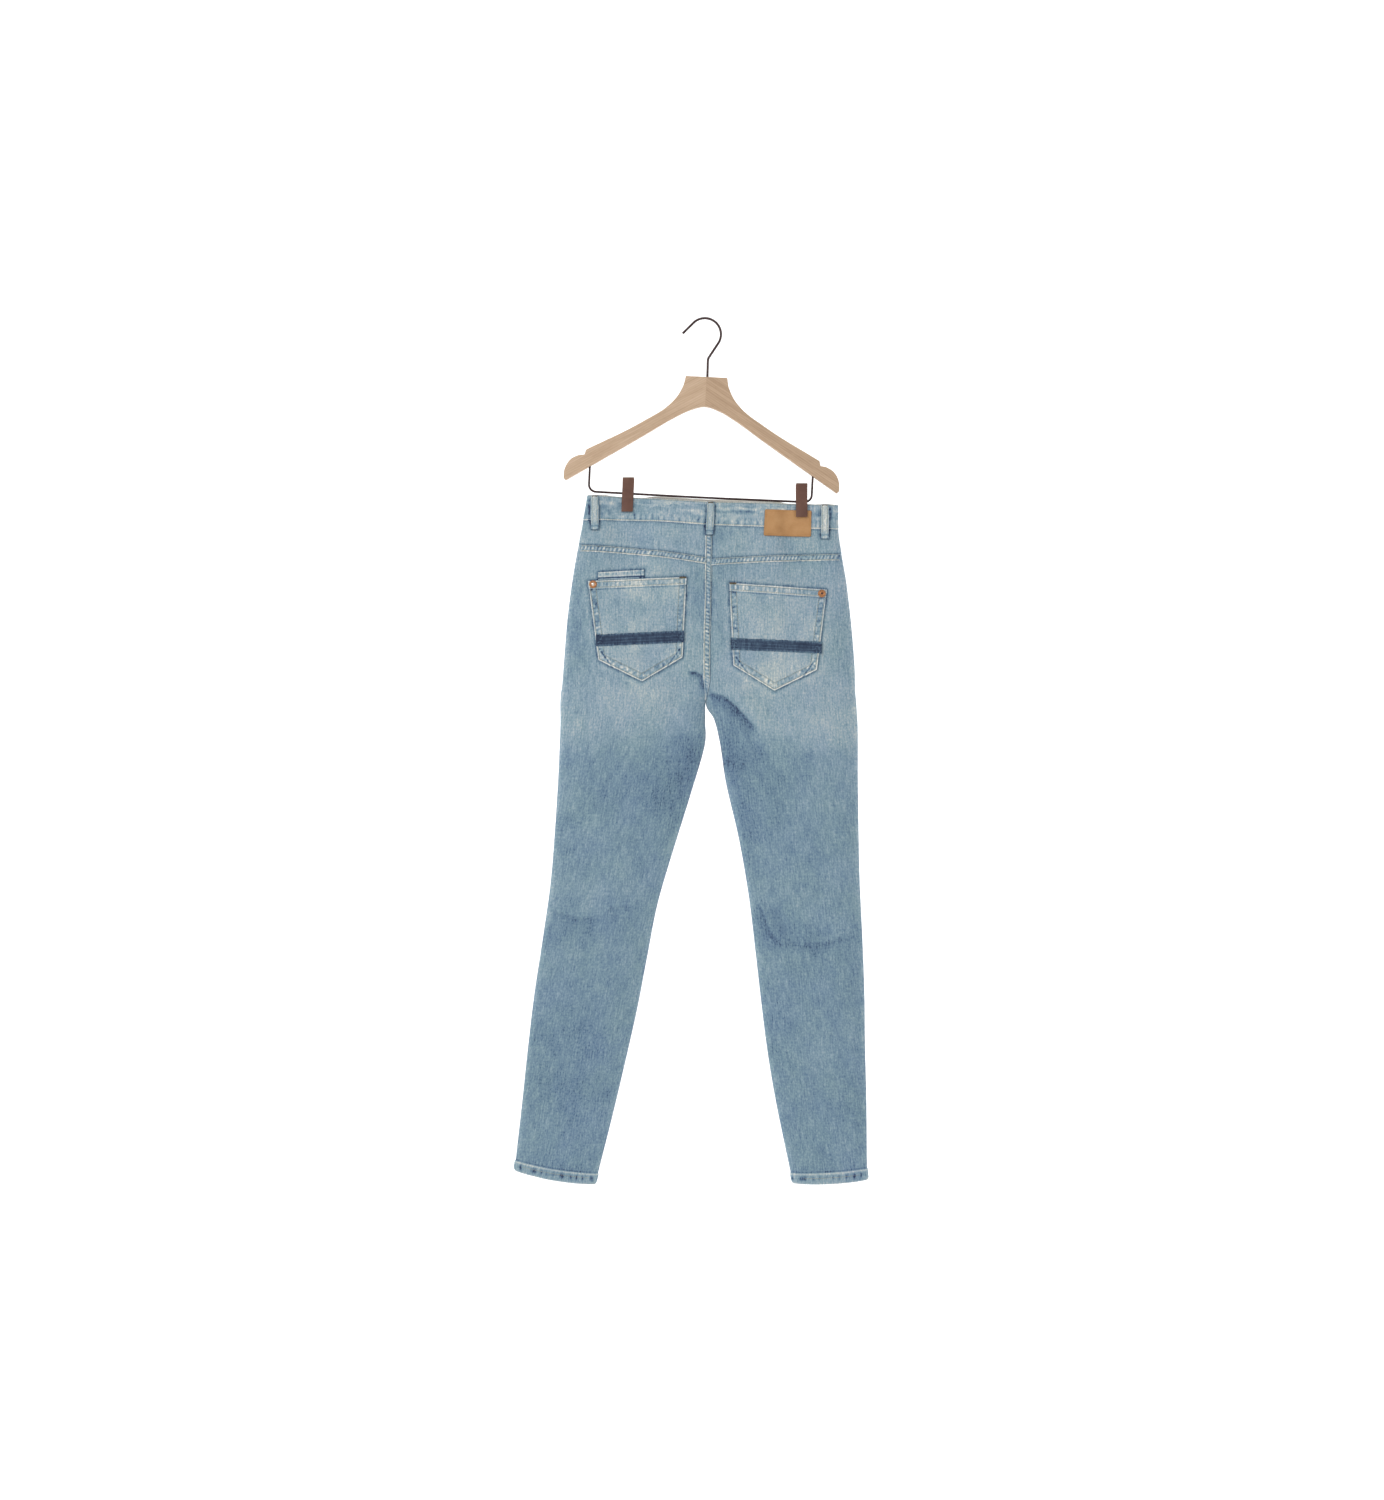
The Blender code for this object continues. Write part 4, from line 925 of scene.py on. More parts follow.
def loop_shadow_and_indigo(face, x, drop):
    """Painted shadow and unfaded indigo beside each belt loop."""
    shade = np.zeros_like(x)
    for hand, loop_face, top_x, bottom_x in BELT_LOOPS.values():
        if loop_face != face:
            continue
        _, ends = loop_place(hand, top_x)
        centre = top_x + (bottom_x - top_x) * (drop - ends[0]) / (ends[1] + LOOP_TAIL - ends[0])
        beside = np.maximum(np.abs(x - centre) - LOOP_WIDTH / 2, 0)
        inside = smoothstep(ends[0] + 2, ends[0] + 8, drop)
        inside = inside * (1 - smoothstep(ends[1] + 8, ends[1] + 18, drop))
        patchy = 0.75 + 0.5 * noise(x / 5, drop / 7, 91)
        shade = shade - 0.40 * np.exp(-((beside / 2.6) ** 2)) * inside * patchy
    return shade


def back_shade(x, drop, pockets=True):
    """The painted shadow and unfaded indigo round the pockets and beside the loops on the back."""
    shade = loop_shadow_and_indigo(BACK, x, drop)
    if pockets:
        for pocket in POCKETS.values():
            away, along, _ = to_segments(x, drop, pocket_outline(pocket))
            # Painted shadow with unfaded indigo along each pocket's outline, and a paler band beyond it.
            shade = shade - (0.20 + 0.14 * noise(along / 9, away / 9, 33)) * bump_line(away, 2.4)
            shade = shade + 0.05 * bump_line(away - 6.5, 3.5)
        left, right = TICKET_POCKET
        corners = (left, right, (right[0], right[1] + 14), (left[0], left[1] + 14))
        away, _, _ = to_segments(x, drop, corners)
        # The same painted shadow with unfaded indigo round the ticket pocket.
        shade = shade - 0.34 * bump_line(away, 2.4)
    return shade


def yoke_line(x):
    """The drop of the yoke seam at points across the back."""
    left, right = SIDES["left"], SIDES["right"]
    shares = np.linspace(0, 1, 60)
    seam = np.full(60, float(STATION["yoke_seam"]))
    left_x, left_drop = left.place(seam, shares, 0.0)
    right_x, right_drop = right.place(seam, shares, 0.0)
    xs = np.concatenate([left_x[::-1], right_x])
    return np.interp(x, xs, np.concatenate([left_drop[::-1], right_drop]))


def centre_seam_x(drop):
    """x of the centre back seam at drops."""
    xs, drops = zip(*CENTRE_SEAM)
    return np.interp(drop, drops, xs)


def leg_shade(side, station, across, x, drop):
    """The rubbed seams at a leg's folded edges, and the hem's own wear and shape with painted shade above it.
    """
    width = side.width(station)
    from_outer = (1 - across) * width
    from_inner = across * width
    shade = 0.05 * bump_line(from_outer - 4, 3.5) * (1 + 0.8 * ticks(drop, 9.0, 301 + side.hand))
    below_fork = smoothstep(STATION["fork"], STATION["thigh_top"], station)
    shade = shade + below_fork * 0.04 * bump_line(from_inner - 4, 3.5) * (1 + 0.8 * ticks(drop, 8.0, 311))
    shade = shade - 0.24 * (bump_line(from_outer, 0.2) + below_fork * bump_line(from_inner, 0.2))
    hem_drop = side.place(np.full_like(x, STATION["hem_stitch"]), across, 0.0)[1]
    foot_drop = side.place(np.full_like(x, STATION["hem"]), across, 0.0)[1]
    in_hem = drop - hem_drop
    to_foot = foot_drop - drop
    band = smoothstep(-0.6, 0.6, in_hem)
    marks = ticks(x, 11.0, 321 + side.hand)
    middle = bump_line(in_hem - 8.0, 3.8)
    shade = shade + band * (0.07 - 0.58 * np.clip(marks - 0.1, 0, 1) * middle)
    # A pale line at the hem's top edge, and a painted shade line just above it.
    shade = shade + 0.26 * bump_line(in_hem - 1.2, 1.0) - 0.14 * bump_line(in_hem + 1.6, 1.3)
    shade = shade + 0.14 * bump_line(to_foot - 0.8, 1.2)
    shade = shade - 0.10 * bump_line(in_hem + 6, 4) * np.clip(marks, 0, 1)
    relief = band * (0.30 * marks * middle - 0.25 * bump_line(in_hem - 2.2, 0.7))
    relief = relief + 0.22 * marks * bump_line(in_hem + 5, 5)
    rounding = 0.9 * (1 - smoothstep(0, 1.6, to_foot)) * band
    corner = np.clip(1 - np.minimum(from_outer, from_inner) / HEM_CORNER, 0, 1)
    lift = 0.7 * HEM_CORNER * (1 - np.sqrt(1 - corner**2)) * (1 - smoothstep(0, 9.0, to_foot))
    return shade, relief, rounding, band, lift


def leg_panel(name, side, face, stations, across, nodes):
    """Both walls of one face of a leg, from its first station down to the hem."""
    station = grid_of(stations, across)
    x, drop = side.place(station, across, 0.0)
    shade, relief, rounding, band, lift = leg_shade(side, station, across, x, drop)
    spread = side.hand * (2 * across - 1) * HEM_SPREAD * band
    proud = band * HEM_PROUD
    rim = 0.35 * bump_line(np.minimum(across, 1 - across) * 200, 1.2)
    grids = []
    for out in (proud + relief - rounding - rim, -CLOTH_WALL - proud + rounding * 0.6 + 0.5 * relief):
        px, py, pdrop = side.surface(face, station, across, out)
        grids.append(points(px + spread, py, pdrop - lift))
    tone = fade_and_shade(face, x, drop) + WEAR_AND_SHADE_STRENGTH * shade
    if face == BACK:
        tone = tone + LEG_SHADOW_AND_INDIGO_STRENGTH * back_shade(x, drop)
        # Painted shadow with unfaded indigo beside the centre seam's band and below the yoke seam's band.
        beside = np.abs(x - centre_seam_x(drop)) - FELL_WIDTH / 2
        tone = tone - 0.12 * bump_line(beside - 0.5, 2.2) * (drop < CENTRE_SEAM_FOOT)
        below = drop - yoke_line(x) - FELL_WIDTH
        tone = tone - 0.10 * bump_line(below - 0.5, 1.8) - 0.04 * bump_line(below - 5, 5)
    else:
        tone = tone + front_shade(side, station, x, drop)
    shell(name, grids, tone, leg_grain(side, face, x, drop), nodes)


def front_shade(side, station, x, drop):
    """The marks of the pocket openings on the front, and painted shadow with unfaded indigo by the fly and
    loops.
    """
    shade = loop_shadow_and_indigo(FRONT, x, drop)
    from_edge = (scoop(station) - side.locate(x, drop)[1]) * side.width(station)
    inside = station < STATION["hip"] - 0.05
    lines = 0.16 * bump_line(from_edge, 1.5) - 0.10 * bump_line(from_edge - 3, 1.2)
    shade = shade + np.where(inside, lines, 0)
    shade = shade + np.where(inside, 0.05 * ticks(drop, 6.0, 401) * bump_line(from_edge - 5, 3), 0)
    # Painted shadow with unfaded indigo beside the fly's edge.
    beside_fly = np.abs(x - (CENTRE_FRONT_X + FLY_LAP - FLY_WIDTH))
    fly_turn = LEFT_SECTIONS["waist_seam"][3] + FLY_LENGTH * 0.72
    return shade - 0.12 * bump_line(beside_fly, 1.6) * (drop < fly_turn)


def scoop(stations):
    """The share across the front where its pocket opening cuts it."""
    t = np.clip((stations - STATION["waist_seam"]) / (STATION["hip"] - STATION["waist_seam"]), 0, 1)
    return 1 - SCOOP_ACROSS * np.sqrt(1 - t**2)


def leg_stations(side, first, steps):
    """Stations down a leg panel, closer together above the fork and at the hem."""
    hem = STATION["hem_stitch"]
    return np.concatenate([
        stations_every(side, first, STATION["thigh_upper"], steps[0]),
        stations_every(side, STATION["thigh_upper"], hem - 0.14, steps[1])[1:],
        stations_every(side, hem - 0.13, STATION["hem"], steps[2]),
    ])


def back_panels():
    for name, side in SIDES.items():
        first = STATION["yoke_seam"] + seam_step(side, STATION["yoke_seam"])
        stations = leg_stations(side, first, (1.9, 3.0, 0.9))
        across = side.columns_across(stations, 98)
        nodes = [f"back_panel_{name}_{length}" for length in PANEL_LENGTHS]
        leg_panel("back_leg_" + name, side, BACK, stations, across, nodes)


def scoop_stations(side, count):
    """Stations down the front pocket's opening, closer together towards its foot."""
    first = STATION["waist_seam"] + seam_step(side, STATION["waist_seam"])
    return first + (STATION["hip"] - 0.03 - first) * np.sin(np.linspace(0, math.pi / 2, count))


def front_panels():
    for name, side in SIDES.items():
        top = scoop_stations(side, 46)
        below = leg_stations(side, float(STATION["hip"]), (3.0, 3.6, 1.0))
        stations = np.concatenate([top, below])
        across = side.columns_across(stations, 62) * scoop(stations)[:, None]
        nodes = [f"front_panel_{name}_{length}" for length in PANEL_LENGTHS]
        leg_panel("front_leg_" + name, side, FRONT, stations, across, nodes)


def pocket_facings():
    for name, side in SIDES.items():
        stations = scoop_stations(side, 30)
        start = scoop(stations)[:, None]
        width = side.width(stations)[:, None]
        start = start + 2.5 * SEAM_GAP / width
        across = start + (1 - start) * np.linspace(0, 1, 46)[None, :] ** 0.85
        station = grid_of(stations, across)
        grids = []
        for out in (-FACING_SET_BACK, -FACING_SET_BACK - POCKET_WALL):
            x, y, drop = side.surface(FRONT, station, across, out)
            grids.append(points(x, y, drop))
        tone = fade_and_shade(FRONT, x, drop) - 0.10 - 0.18 * bump_line((across - start) * width, 4.0)
        tone = tone + loop_shadow_and_indigo(FRONT, x, drop)
        nodes = ["pocket_facing_" + name]
        shell("pocket_facing_cloth_" + name, grids, tone, flat_grain(x, drop), nodes)


def yokes():
    for name, side in SIDES.items():
        top, bottom = STATION["waist_seam"], STATION["yoke_seam"]
        step = seam_step(side, top)
        stations = np.linspace(top + step, bottom - step, 30)
        across = side.columns_across(stations, 120)
        station = grid_of(stations, across)
        x, drop = side.place(station, across, 0.0)
        from_top = (station - top) * YOKE_DEPTH
        from_foot = (bottom - station) * YOKE_DEPTH
        pucker = 0.16 * ticks(x, 7.0, 501 + side.hand) * (bump_line(from_top, 5) + bump_line(from_foot, 6))
        outs = pucker, -CLOTH_WALL + pucker
        grids = [points(*side.surface(BACK, station, across, out)) for out in outs]
        tone = fade_and_shade(BACK, x, drop) + YOKE_SHADOW_AND_INDIGO_STRENGTH * back_shade(x, drop, pockets=False)
        # Painted shadow with unfaded indigo at the yoke's foot and top and beside the centre seam.
        tone = tone - 0.20 * bump_line(from_foot, 1.6) + 0.05 * bump_line(from_foot - 4, 2.4)
        tone = tone - 0.16 * bump_line(from_top, 2.2) - 0.04 * bump_line(from_top - 5, 5)
        beside = np.abs(x - centre_seam_x(drop)) - FELL_WIDTH / 2
        tone = tone - 0.14 * bump_line(beside - 0.5, 2.2)
        shell("yoke_cloth_" + name, grids, tone, flat_grain(x, drop), ["yoke_" + name])


# ------------------------------------------------------------------ felled seams


def lay_back(x, drop, out):
    """Points that lie on the back, on whichever side they fall."""
    x, drop = np.broadcast_arrays(np.asarray(x, float), np.asarray(drop, float))
    seam = np.interp(drop, SIDES["left"].columns["inner_drop"], SIDES["left"].columns["inner_x"])
    left = SIDES["left"].lay(BACK, x, drop, 0.0)[1]
    right = SIDES["right"].lay(BACK, x, drop, 0.0)[1]
    return np.where(x < seam, left, right) - out


def along_line(line, step):
    """Evenly spaced points on a smooth line through x and drop pairs, and its direction."""
    line = np.array(line, float)
    t = np.linspace(0, len(line) - 1, 40 * len(line))
    fine = np.stack([spline(line[:, 0], t), spline(line[:, 1], t)], axis=-1)
    run = np.concatenate([[0], np.cumsum(np.hypot(*np.diff(fine, axis=0).T))])
    where = np.linspace(0, run[-1], max(2, round(run[-1] / step) + 1))
    x, drop = np.interp(where, run, fine[:, 0]), np.interp(where, run, fine[:, 1])
    direction = np.stack([np.gradient(x), np.gradient(drop)], axis=-1)
    direction /= np.linalg.norm(direction, axis=1, keepdims=True)
    return x, drop, direction, where


def felled_seam(name, line, step, seed, lay, taper=0.0):
    """A raised seam band, puckered between its two rows of stitches, with painted shadow along one edge."""
    x, drop, direction, along = along_line(line, step)
    left_over = (along[-1] - along)[:, None]
    narrow = 1 - 0.72 * (1 - smoothstep(0, taper, left_over)) if taper else np.ones((len(x), 1))
    columns = np.linspace(-0.5, 0.5, 15)[None, :] * FELL_WIDTH * narrow
    gx = x[:, None] - direction[:, 1:] * columns
    gdrop = drop[:, None] + direction[:, :1] * columns
    across = np.broadcast_to(columns, gx.shape)
    run = np.broadcast_to(along[:, None], gx.shape)
    edge = FELL_WIDTH * narrow / 2 - np.abs(across)
    marks = ticks(run + 0.4 * across, 5.6, seed)
    middle = smoothstep(1.8, 3.6, edge)
    height = FELL_WALL * smoothstep(-0.3, 1.0, edge) - 0.30 * bump_line(edge - 1.9, 0.8)
    height = height + 0.34 * marks * middle + 0.10 * noise(run / 2.2, across / 2.2, seed + 5)
    base = -lay(gx, gdrop, 0.0)
    base = (base + np.roll(base, 1, 1) + np.roll(base, -1, 1)) / 3
    base[:, 0], base[:, -1] = base[:, 1], base[:, -2]
    outer = points(gx, -(base + FELL_LIFT + height), gdrop)
    inner = points(gx, -(base + 0.1), gdrop)
    tone = fade_and_shade(BACK, gx, gdrop) - 0.01
    pale_side = 0.24 + 0.10 * (across > 0)
    tone = tone + pale_side * bump_line(edge - 0.9, 0.9) - 0.16 * bump_line(edge - 2.4, 0.7)
    tone = tone + (0.29 * marks + 0.01) * middle + 0.12 * noise(run / 2.6, across / 2.6, seed + 9)
    # Painted shadow with unfaded indigo along one edge, and darker rims at both.
    tone = tone - 0.50 * bump_line(across + FELL_WIDTH * narrow / 2, 0.9) - 0.16 * bump_line(edge, 0.5)
    shell(name, (outer, inner), tone, flat_grain(gx, gdrop), contrast=1.6)


def yoke_seams():
    for name, side in SIDES.items():
        shares = np.linspace(0.0, 0.985, 26)
        x, drop = side.place(np.full(26, float(STATION["yoke_seam"])), shares, 0.0)
        line = list(zip(x, drop + FELL_WIDTH / 2 + 0.4))
        if side.hand == LEFT:
            line = line[::-1]

        def lay(px, pdrop, out, side=side):
            return side.lay(BACK, px, pdrop, out)[1]

        felled_seam("yoke_seam_" + name, line, 1.3, 611 + side.hand, lay)


# ------------------------------------------------------------------ waistband


def waistband_over(shares):
    """How far the waistband stands out where it laps over itself."""
    underlap = WAIST_UNDERLAP / HALF_WAIST
    return (WAISTBAND_WALL + SEAM_GAP) * (1 - smoothstep(underlap * 1.06, underlap * 1.8, shares))


def front_rise(station, across, x, drop):
    """How far the waistband's front is lifted between the clips."""
    return FRONT_WAIST_RISE * (1 - station) * (1 - pinch(x, drop)) * (1 - across**6)


def waist_path():
    """Where the waistband runs: side, face, share across and how far it laps over itself."""
    lap, underlap = WAIST_LAP / HALF_WAIST, WAIST_UNDERLAP / HALF_WAIST
    even = np.sin(np.linspace(0, math.pi / 2, 160)) * 0.35 + np.linspace(0, 1, 160) * 0.65
    path = [(RIGHT, FRONT, share) for share in np.linspace(lap, 0.004, 10)]
    path += [(LEFT, FRONT, share) for share in even]
    path += [(LEFT, BACK, share) for share in even[-2:0:-1]]
    path += [(RIGHT, BACK, share) for share in even]
    path += [(RIGHT, FRONT, share) for share in even[-2:0:-1]]
    path += [(LEFT, FRONT, share) for share in np.linspace(0, underlap, 12)]
    hands, faces, shares = (np.array(column, float) for column in zip(*path))
    over = waistband_over(shares)
    over[10 + len(even):] = 0.0
    return hands, faces, shares, over


def waistband():
    hands, faces, shares, over = waist_path()
    rows = np.linspace(0, STATION["waist_seam"] - SEWN_GAP / WAISTBAND_DEPTH, 40)
    station = np.broadcast_to(rows[:, None], (len(rows), len(shares)))
    across = np.broadcast_to(shares[None, :], station.shape)
    face = np.broadcast_to(faces[None, :], station.shape)
    from_top = station * WAISTBAND_DEPTH
    from_foot = WAISTBAND_DEPTH - from_top
    left_x, right_x = (side.place(station, across, 0.0)[0] for side in SIDES.values())
    x0 = np.where(hands[None, :] == LEFT, left_x, right_x)
    around = np.concatenate([[0], np.cumsum(np.abs(np.diff(x0[0])))])[None, :] + np.zeros_like(station)
    marks = ticks(around, 6.2, 701)
    creases = noise(around / 26, from_top / 4.6, 702) + 0.5 * noise(around / 11, from_top / 2.8, 703)
    creases = creases * bump_line(from_top - 15, 11) * np.where(face == BACK, 1.0, 0.6)
    pucker = ticks(around, 9.8, 709) * bump_line(from_foot - 6.0, 4.6)
    relief = 0.55 * creases + 0.34 * pucker + 0.10 * marks * bump_line(from_top - 4, 3)
    relief = relief - 0.22 * bump_line(from_top - 2.4, 0.7) - 0.22 * bump_line(from_foot - 2.4, 0.7)
    rim = 0.55 * (1 - smoothstep(0, 1.3, np.minimum(from_top, from_foot)))
    grids = []
    for out in (WAISTBAND_PROUD + relief - rim, WAISTBAND_PROUD - WAISTBAND_WALL + 0.5 * relief + rim):
        px, py, pdrop = (np.zeros_like(station) for _ in range(3))
        for hand, name in SIDE_NAME.items():
            for this_face in (BACK, FRONT):
                pick = np.nonzero((hands == hand) & (faces == this_face))[0]
                side = SIDES[name]
                part = np.ix_(np.arange(len(rows)), pick)
                st, ac, o = station[part], across[part], out[part]
                x, drop = side.place(st, ac, o)
                y = side.height(this_face, st, ac, x, drop, o, seam=0.0) + over[pick][None, :] * (ac < 0.9)
                if this_face == FRONT:
                    drop = drop - front_rise(st, ac, x, drop)
                px[part], py[part], pdrop[part] = x, this_face * y, drop
        grids.append(points(px, py, pdrop))
    # Painted shade and highlight of the wrinkles: dark lines on their flanks, lighter ridges, darker hollows.
    lines = np.clip(1 - np.abs(creases) / 0.10, 0, 1) * bump_line(from_top - 15, 10)
    lines = lines * smoothstep(-0.1, 0.5, noise(around / 19, from_top / 12, 706))
    tone = 0.64 + 0.06 * smoothstep(-150, 20, px) + 0.15 * creases - 0.26 * lines
    tone = tone + 0.06 * noise(around / 17, from_top / 9, 704) + 0.06 * noise(around / 4, from_top / 4, 705)
    reach = 10.0 + 6 * noise(around / 13, around * 0, 707)
    wide_marks = ticks(around + 1.5 * noise(from_foot / 5, around / 30, 708), 9.8, 709)
    dashes = np.clip(1.7 * (-wide_marks - 0.25), 0, 1) * smoothstep(3.0, 4.6, from_foot)
    dashes = dashes * (1 - smoothstep(reach - 5, reach, from_foot))
    tone = tone - 0.30 * dashes + 0.07 * bump_line(from_foot - 7.0, 4.0) * (0.4 + wide_marks)
    # A pale ridge at the foot, and a dark line of painted shadow with unfaded indigo at its very edge.
    tone = tone + 0.34 * bump_line(from_foot - 1.9, 0.9) - 0.42 * bump_line(from_foot - 0.2, 0.7)
    tone = tone - 0.14 * bump_line(from_foot - 3.4, 0.6)
    tone = tone + 0.26 * bump_line(from_top - 0.8, 1.1) - 0.08 * bump_line(from_top - 3.4, 0.8)
    # Painted shadow with unfaded indigo beside the loops.
    halo = np.where(face == BACK, loop_shadow_and_indigo(BACK, px, pdrop), loop_shadow_and_indigo(FRONT, px, pdrop))
    grain = flat_grain(around, from_top)
    shell("waistband_cloth", grids, tone + halo, grain, ["waistband"], lining=0.66, contrast=1.5)


# ------------------------------------------------------------------ pockets and trims


def pocket_grid(pocket, down, over):
    """x and drop over a pointed pocket: down from its top, over from its outer side."""
    _, top_outer, top_inner, bottom_outer, tip, bottom_inner = pocket
    down, over = np.meshgrid(down, over, indexing="ij")
    outer_x = top_outer[0] + (bottom_outer[0] - top_outer[0]) * down
    inner_x = top_inner[0] + (bottom_inner[0] - top_inner[0]) * down
    tip_share = (tip[0] - bottom_outer[0]) / (bottom_inner[0] - bottom_outer[0])
    top = top_outer[1] + (top_inner[1] - top_outer[1]) * over
    bottom = np.interp(over, (0, tip_share, 1), (bottom_outer[1], tip[1], bottom_inner[1]))
    return outer_x + (inner_x - outer_x) * over, top + (bottom - top) * down


def graded(length, margin, fine, coarse):
    """Shares along a length, closer together within its margins."""
    edge = np.concatenate([np.arange(0, 3, 0.5), np.arange(3, margin, fine)])
    middle = np.linspace(margin, length - margin, round((length - 2 * margin) / coarse))
    return np.concatenate([edge, middle, length - edge[::-1]]) / length


def back_pockets():
    for name, pocket in POCKETS.items():
        side = SIDES[name]
        seed = 801 if name == "left" else 841
        x, drop = pocket_grid(pocket, graded(155, 15, 1.0, 1.75), graded(150, 15, 1.0, 1.75))
        corners = pocket_outline(pocket)
        open_line = corners[1:] + corners[:1]  # round the sides and the point, not the top
        edge, along, _ = to_segments(x, drop, open_line, closed=False)
        from_top, _, _ = to_segments(x, drop, corners[:2], closed=False)
        marks = ticks(along, 6.4, seed)
        top_marks = ticks(x, 6.8, seed + 2)
        border = 1 - smoothstep(11.5, 13.0, edge)
        hem = 1 - smoothstep(POCKET_HEM - 0.6, POCKET_HEM + 0.6, from_top)
        between_rows = smoothstep(2.6, 4.2, edge) * (1 - smoothstep(10.2, 11.6, edge)) * (1 - hem)
        hem_rows = smoothstep(2.6, 4.2, from_top) * (1 - smoothstep(9.6, 11.2, from_top))
        body = noise(x / 18, drop / 26, seed + 5) * 0.35 + noise(x / 7, drop / 9, seed + 6) * 0.10
        relief = 0.28 * border * (1 - hem) + POCKET_HEM_PROUD * hem + body * (1 - 0.6 * border)
        relief = relief + 0.28 * marks * between_rows + 0.24 * top_marks * hem_rows
        relief = relief - 0.22 * (bump_line(edge - 3.0, 0.7) + bump_line(edge - 11.2, 0.8)) * (1 - hem)
        relief = relief - 0.22 * (bump_line(from_top - 3.0, 0.7) + bump_line(from_top - 10.8, 0.8))
        nearest = np.minimum(edge, from_top)
        rim = 0.9 * (1 - smoothstep(0, 1.3, nearest))
        thick = LYING_GAP + POCKET_WALL
        px, py, pdrop = side.lay(BACK, x, drop, thick + relief - rim)
        outer = points(px, py, pdrop)
        inner = points(*side.lay(BACK, x, drop, UNDERSIDE_GAP))
        low_inner = np.exp(-(((x - side.hand * 112) / 60) ** 2) - (((drop - 538) / 26) ** 2))
        rubbed = 0.09 if side.hand == RIGHT else 0.03
        tone = 0.685 + 0.05 * noise(x / 26, drop / 34, seed + 7) + rubbed * low_inner
        tone = tone + 0.05 * body * 2 + 0.02 * np.cos((x - side.hand * 108) / 40)
        # A pale edge, and outside it a dark rim of painted shade with unfaded indigo where the pocket turns
        # down.
        tone = tone + 0.30 * bump_line(nearest - 1.7, 0.8) - 0.34 * bump_line(nearest, 0.7)
        tone = tone - 0.14 * bump_line(nearest - 3.0, 0.6)
        blotches = noise(x / 4.2, drop / 4.2, seed + 8) + 0.6 * noise(x / 2.1, drop / 2.1, seed + 9)
        worn = noise(along / 24, edge / 30, seed + 10)
        tone = tone + (0.10 * marks + 0.17 * blotches - 0.04 + 0.06 * worn) * between_rows
        tone = tone - 0.17 * bump_line(edge - 11.4, 0.9) * (1 - hem) * (0.8 + 0.5 * worn)
        tone = tone + 0.07 * bump_line(edge - 12.8, 0.8) * (1 - hem)
        tone = tone + (0.14 * top_marks + 0.10 * blotches + 0.03) * hem_rows
        # A pale edge at the hem's foot, and painted shadow just below the hem.
        from_hem = from_top - POCKET_HEM
        tone = tone + 0.22 * bump_line(from_hem + 1.0, 0.9) - 0.30 * bump_line(from_hem - 0.7, 0.9)
        for corner in corners[:2]:
            tone = tone - 0.20 * bump_line(np.hypot(x - corner[0], drop - corner[1] - 15), 6.0) * (edge < 12)
        for corner, inward in ((corners[2], side.hand), (corners[4], -side.hand)):
            # A small wrinkle crosses each lower corner: a dark line of painted shade along it and a paler
            # line beside it.
            wrinkle = (corner[0] + inward * 5, corner[1] - 13), (corner[0] + inward * 23, corner[1] + 12)
            away, _, _ = to_segments(x, drop, wrinkle, closed=False)
            tone = tone - 0.26 * bump_line(away, 1.1) + 0.14 * bump_line(away - 2.4, 1.0)
        grain, nodes = flat_grain(x, drop), ["back_pocket_" + name]
        shell("back_pocket_cloth_" + name, (outer, inner), tone, grain, nodes, contrast=1.5)


def strip_grid(corners, rows, columns):
    """x and drop over a four-sided piece, its corners going round from the top left."""
    down, over = np.meshgrid(np.linspace(0, 1, rows), np.linspace(0, 1, columns), indexing="ij")
    top_left, top_right, bottom_right, bottom_left = np.array(corners, float)
    wide, deep = over[..., None], down[..., None]
    top = top_left + (top_right - top_left) * wide
    bottom = bottom_left + (bottom_right - bottom_left) * wide
    grid = top + (bottom - top) * deep
    return grid[..., 0], grid[..., 1], over, down


def from_ends(share, length):
    """Distance from the nearer end of a length, at shares along it."""
    return np.minimum(share, 1 - share) * length


def pocket_bands():
    for name, band in POCKET_BANDS.items():
        outer_x, outer_top, outer_foot, inner_x, inner_top, inner_foot = band
        corners = ((outer_x, outer_top), (inner_x, inner_top), (inner_x, inner_foot), (outer_x, outer_foot))
        x, drop, over, down = strip_grid(corners, 32, 180)
        seed = 861 if name == "left" else 871
        frayed = 0.40 * noise(x / 1.3, down * 2, seed) + 0.25 * noise(x / 5, down * 2, seed + 1)
        drop = drop + frayed * (np.abs(down - 0.5) * 2) ** 3
        depth = down * BAND_DEPTH
        to_edge = np.minimum(depth, BAND_DEPTH - depth)
        end = from_ends(over, BAND_LENGTH)
        rows = np.cos(2 * math.pi * depth / 3.0)
        edge = np.minimum(to_edge, end)
        relief = 0.16 * rows + 0.22 * noise(x / 2.4, depth / 1.6, seed + 2)
        relief = relief - 0.5 * (1 - smoothstep(0, 1.1, edge))
        base = LYING_GAP + POCKET_WALL
        outer = points(*SIDES[name].lay(BACK, x, drop, base + 0.35 + BAND_WALL * 0.7 + relief))
        inner = points(*SIDES[name].lay(BACK, x, drop, base))
        upright = noise(x / 2.2, depth / 9, seed + 3)
        tone = BAND_TONES[name] + 0.04 * noise(x / 30, depth / 6, seed + 4) + 0.05 * upright
        tone = tone + 0.10 * bump_line(depth - 7.6, 0.6) + 0.12 * bump_line(depth - 12.2, 0.6)
        tone = tone + (0.16 + 0.07 * upright) * (1 - smoothstep(0.5, 4.2, to_edge))
        tone = tone + 0.16 * noise(x / 1.8, depth / 1.8, seed + 5) * (1 - smoothstep(8, 13, end))
        grain, nodes = flat_grain(x, depth), ["pocket_band_" + name]
        shell("pocket_band_cloth_" + name, (outer, inner), tone, grain, nodes, DARK_DENIM)


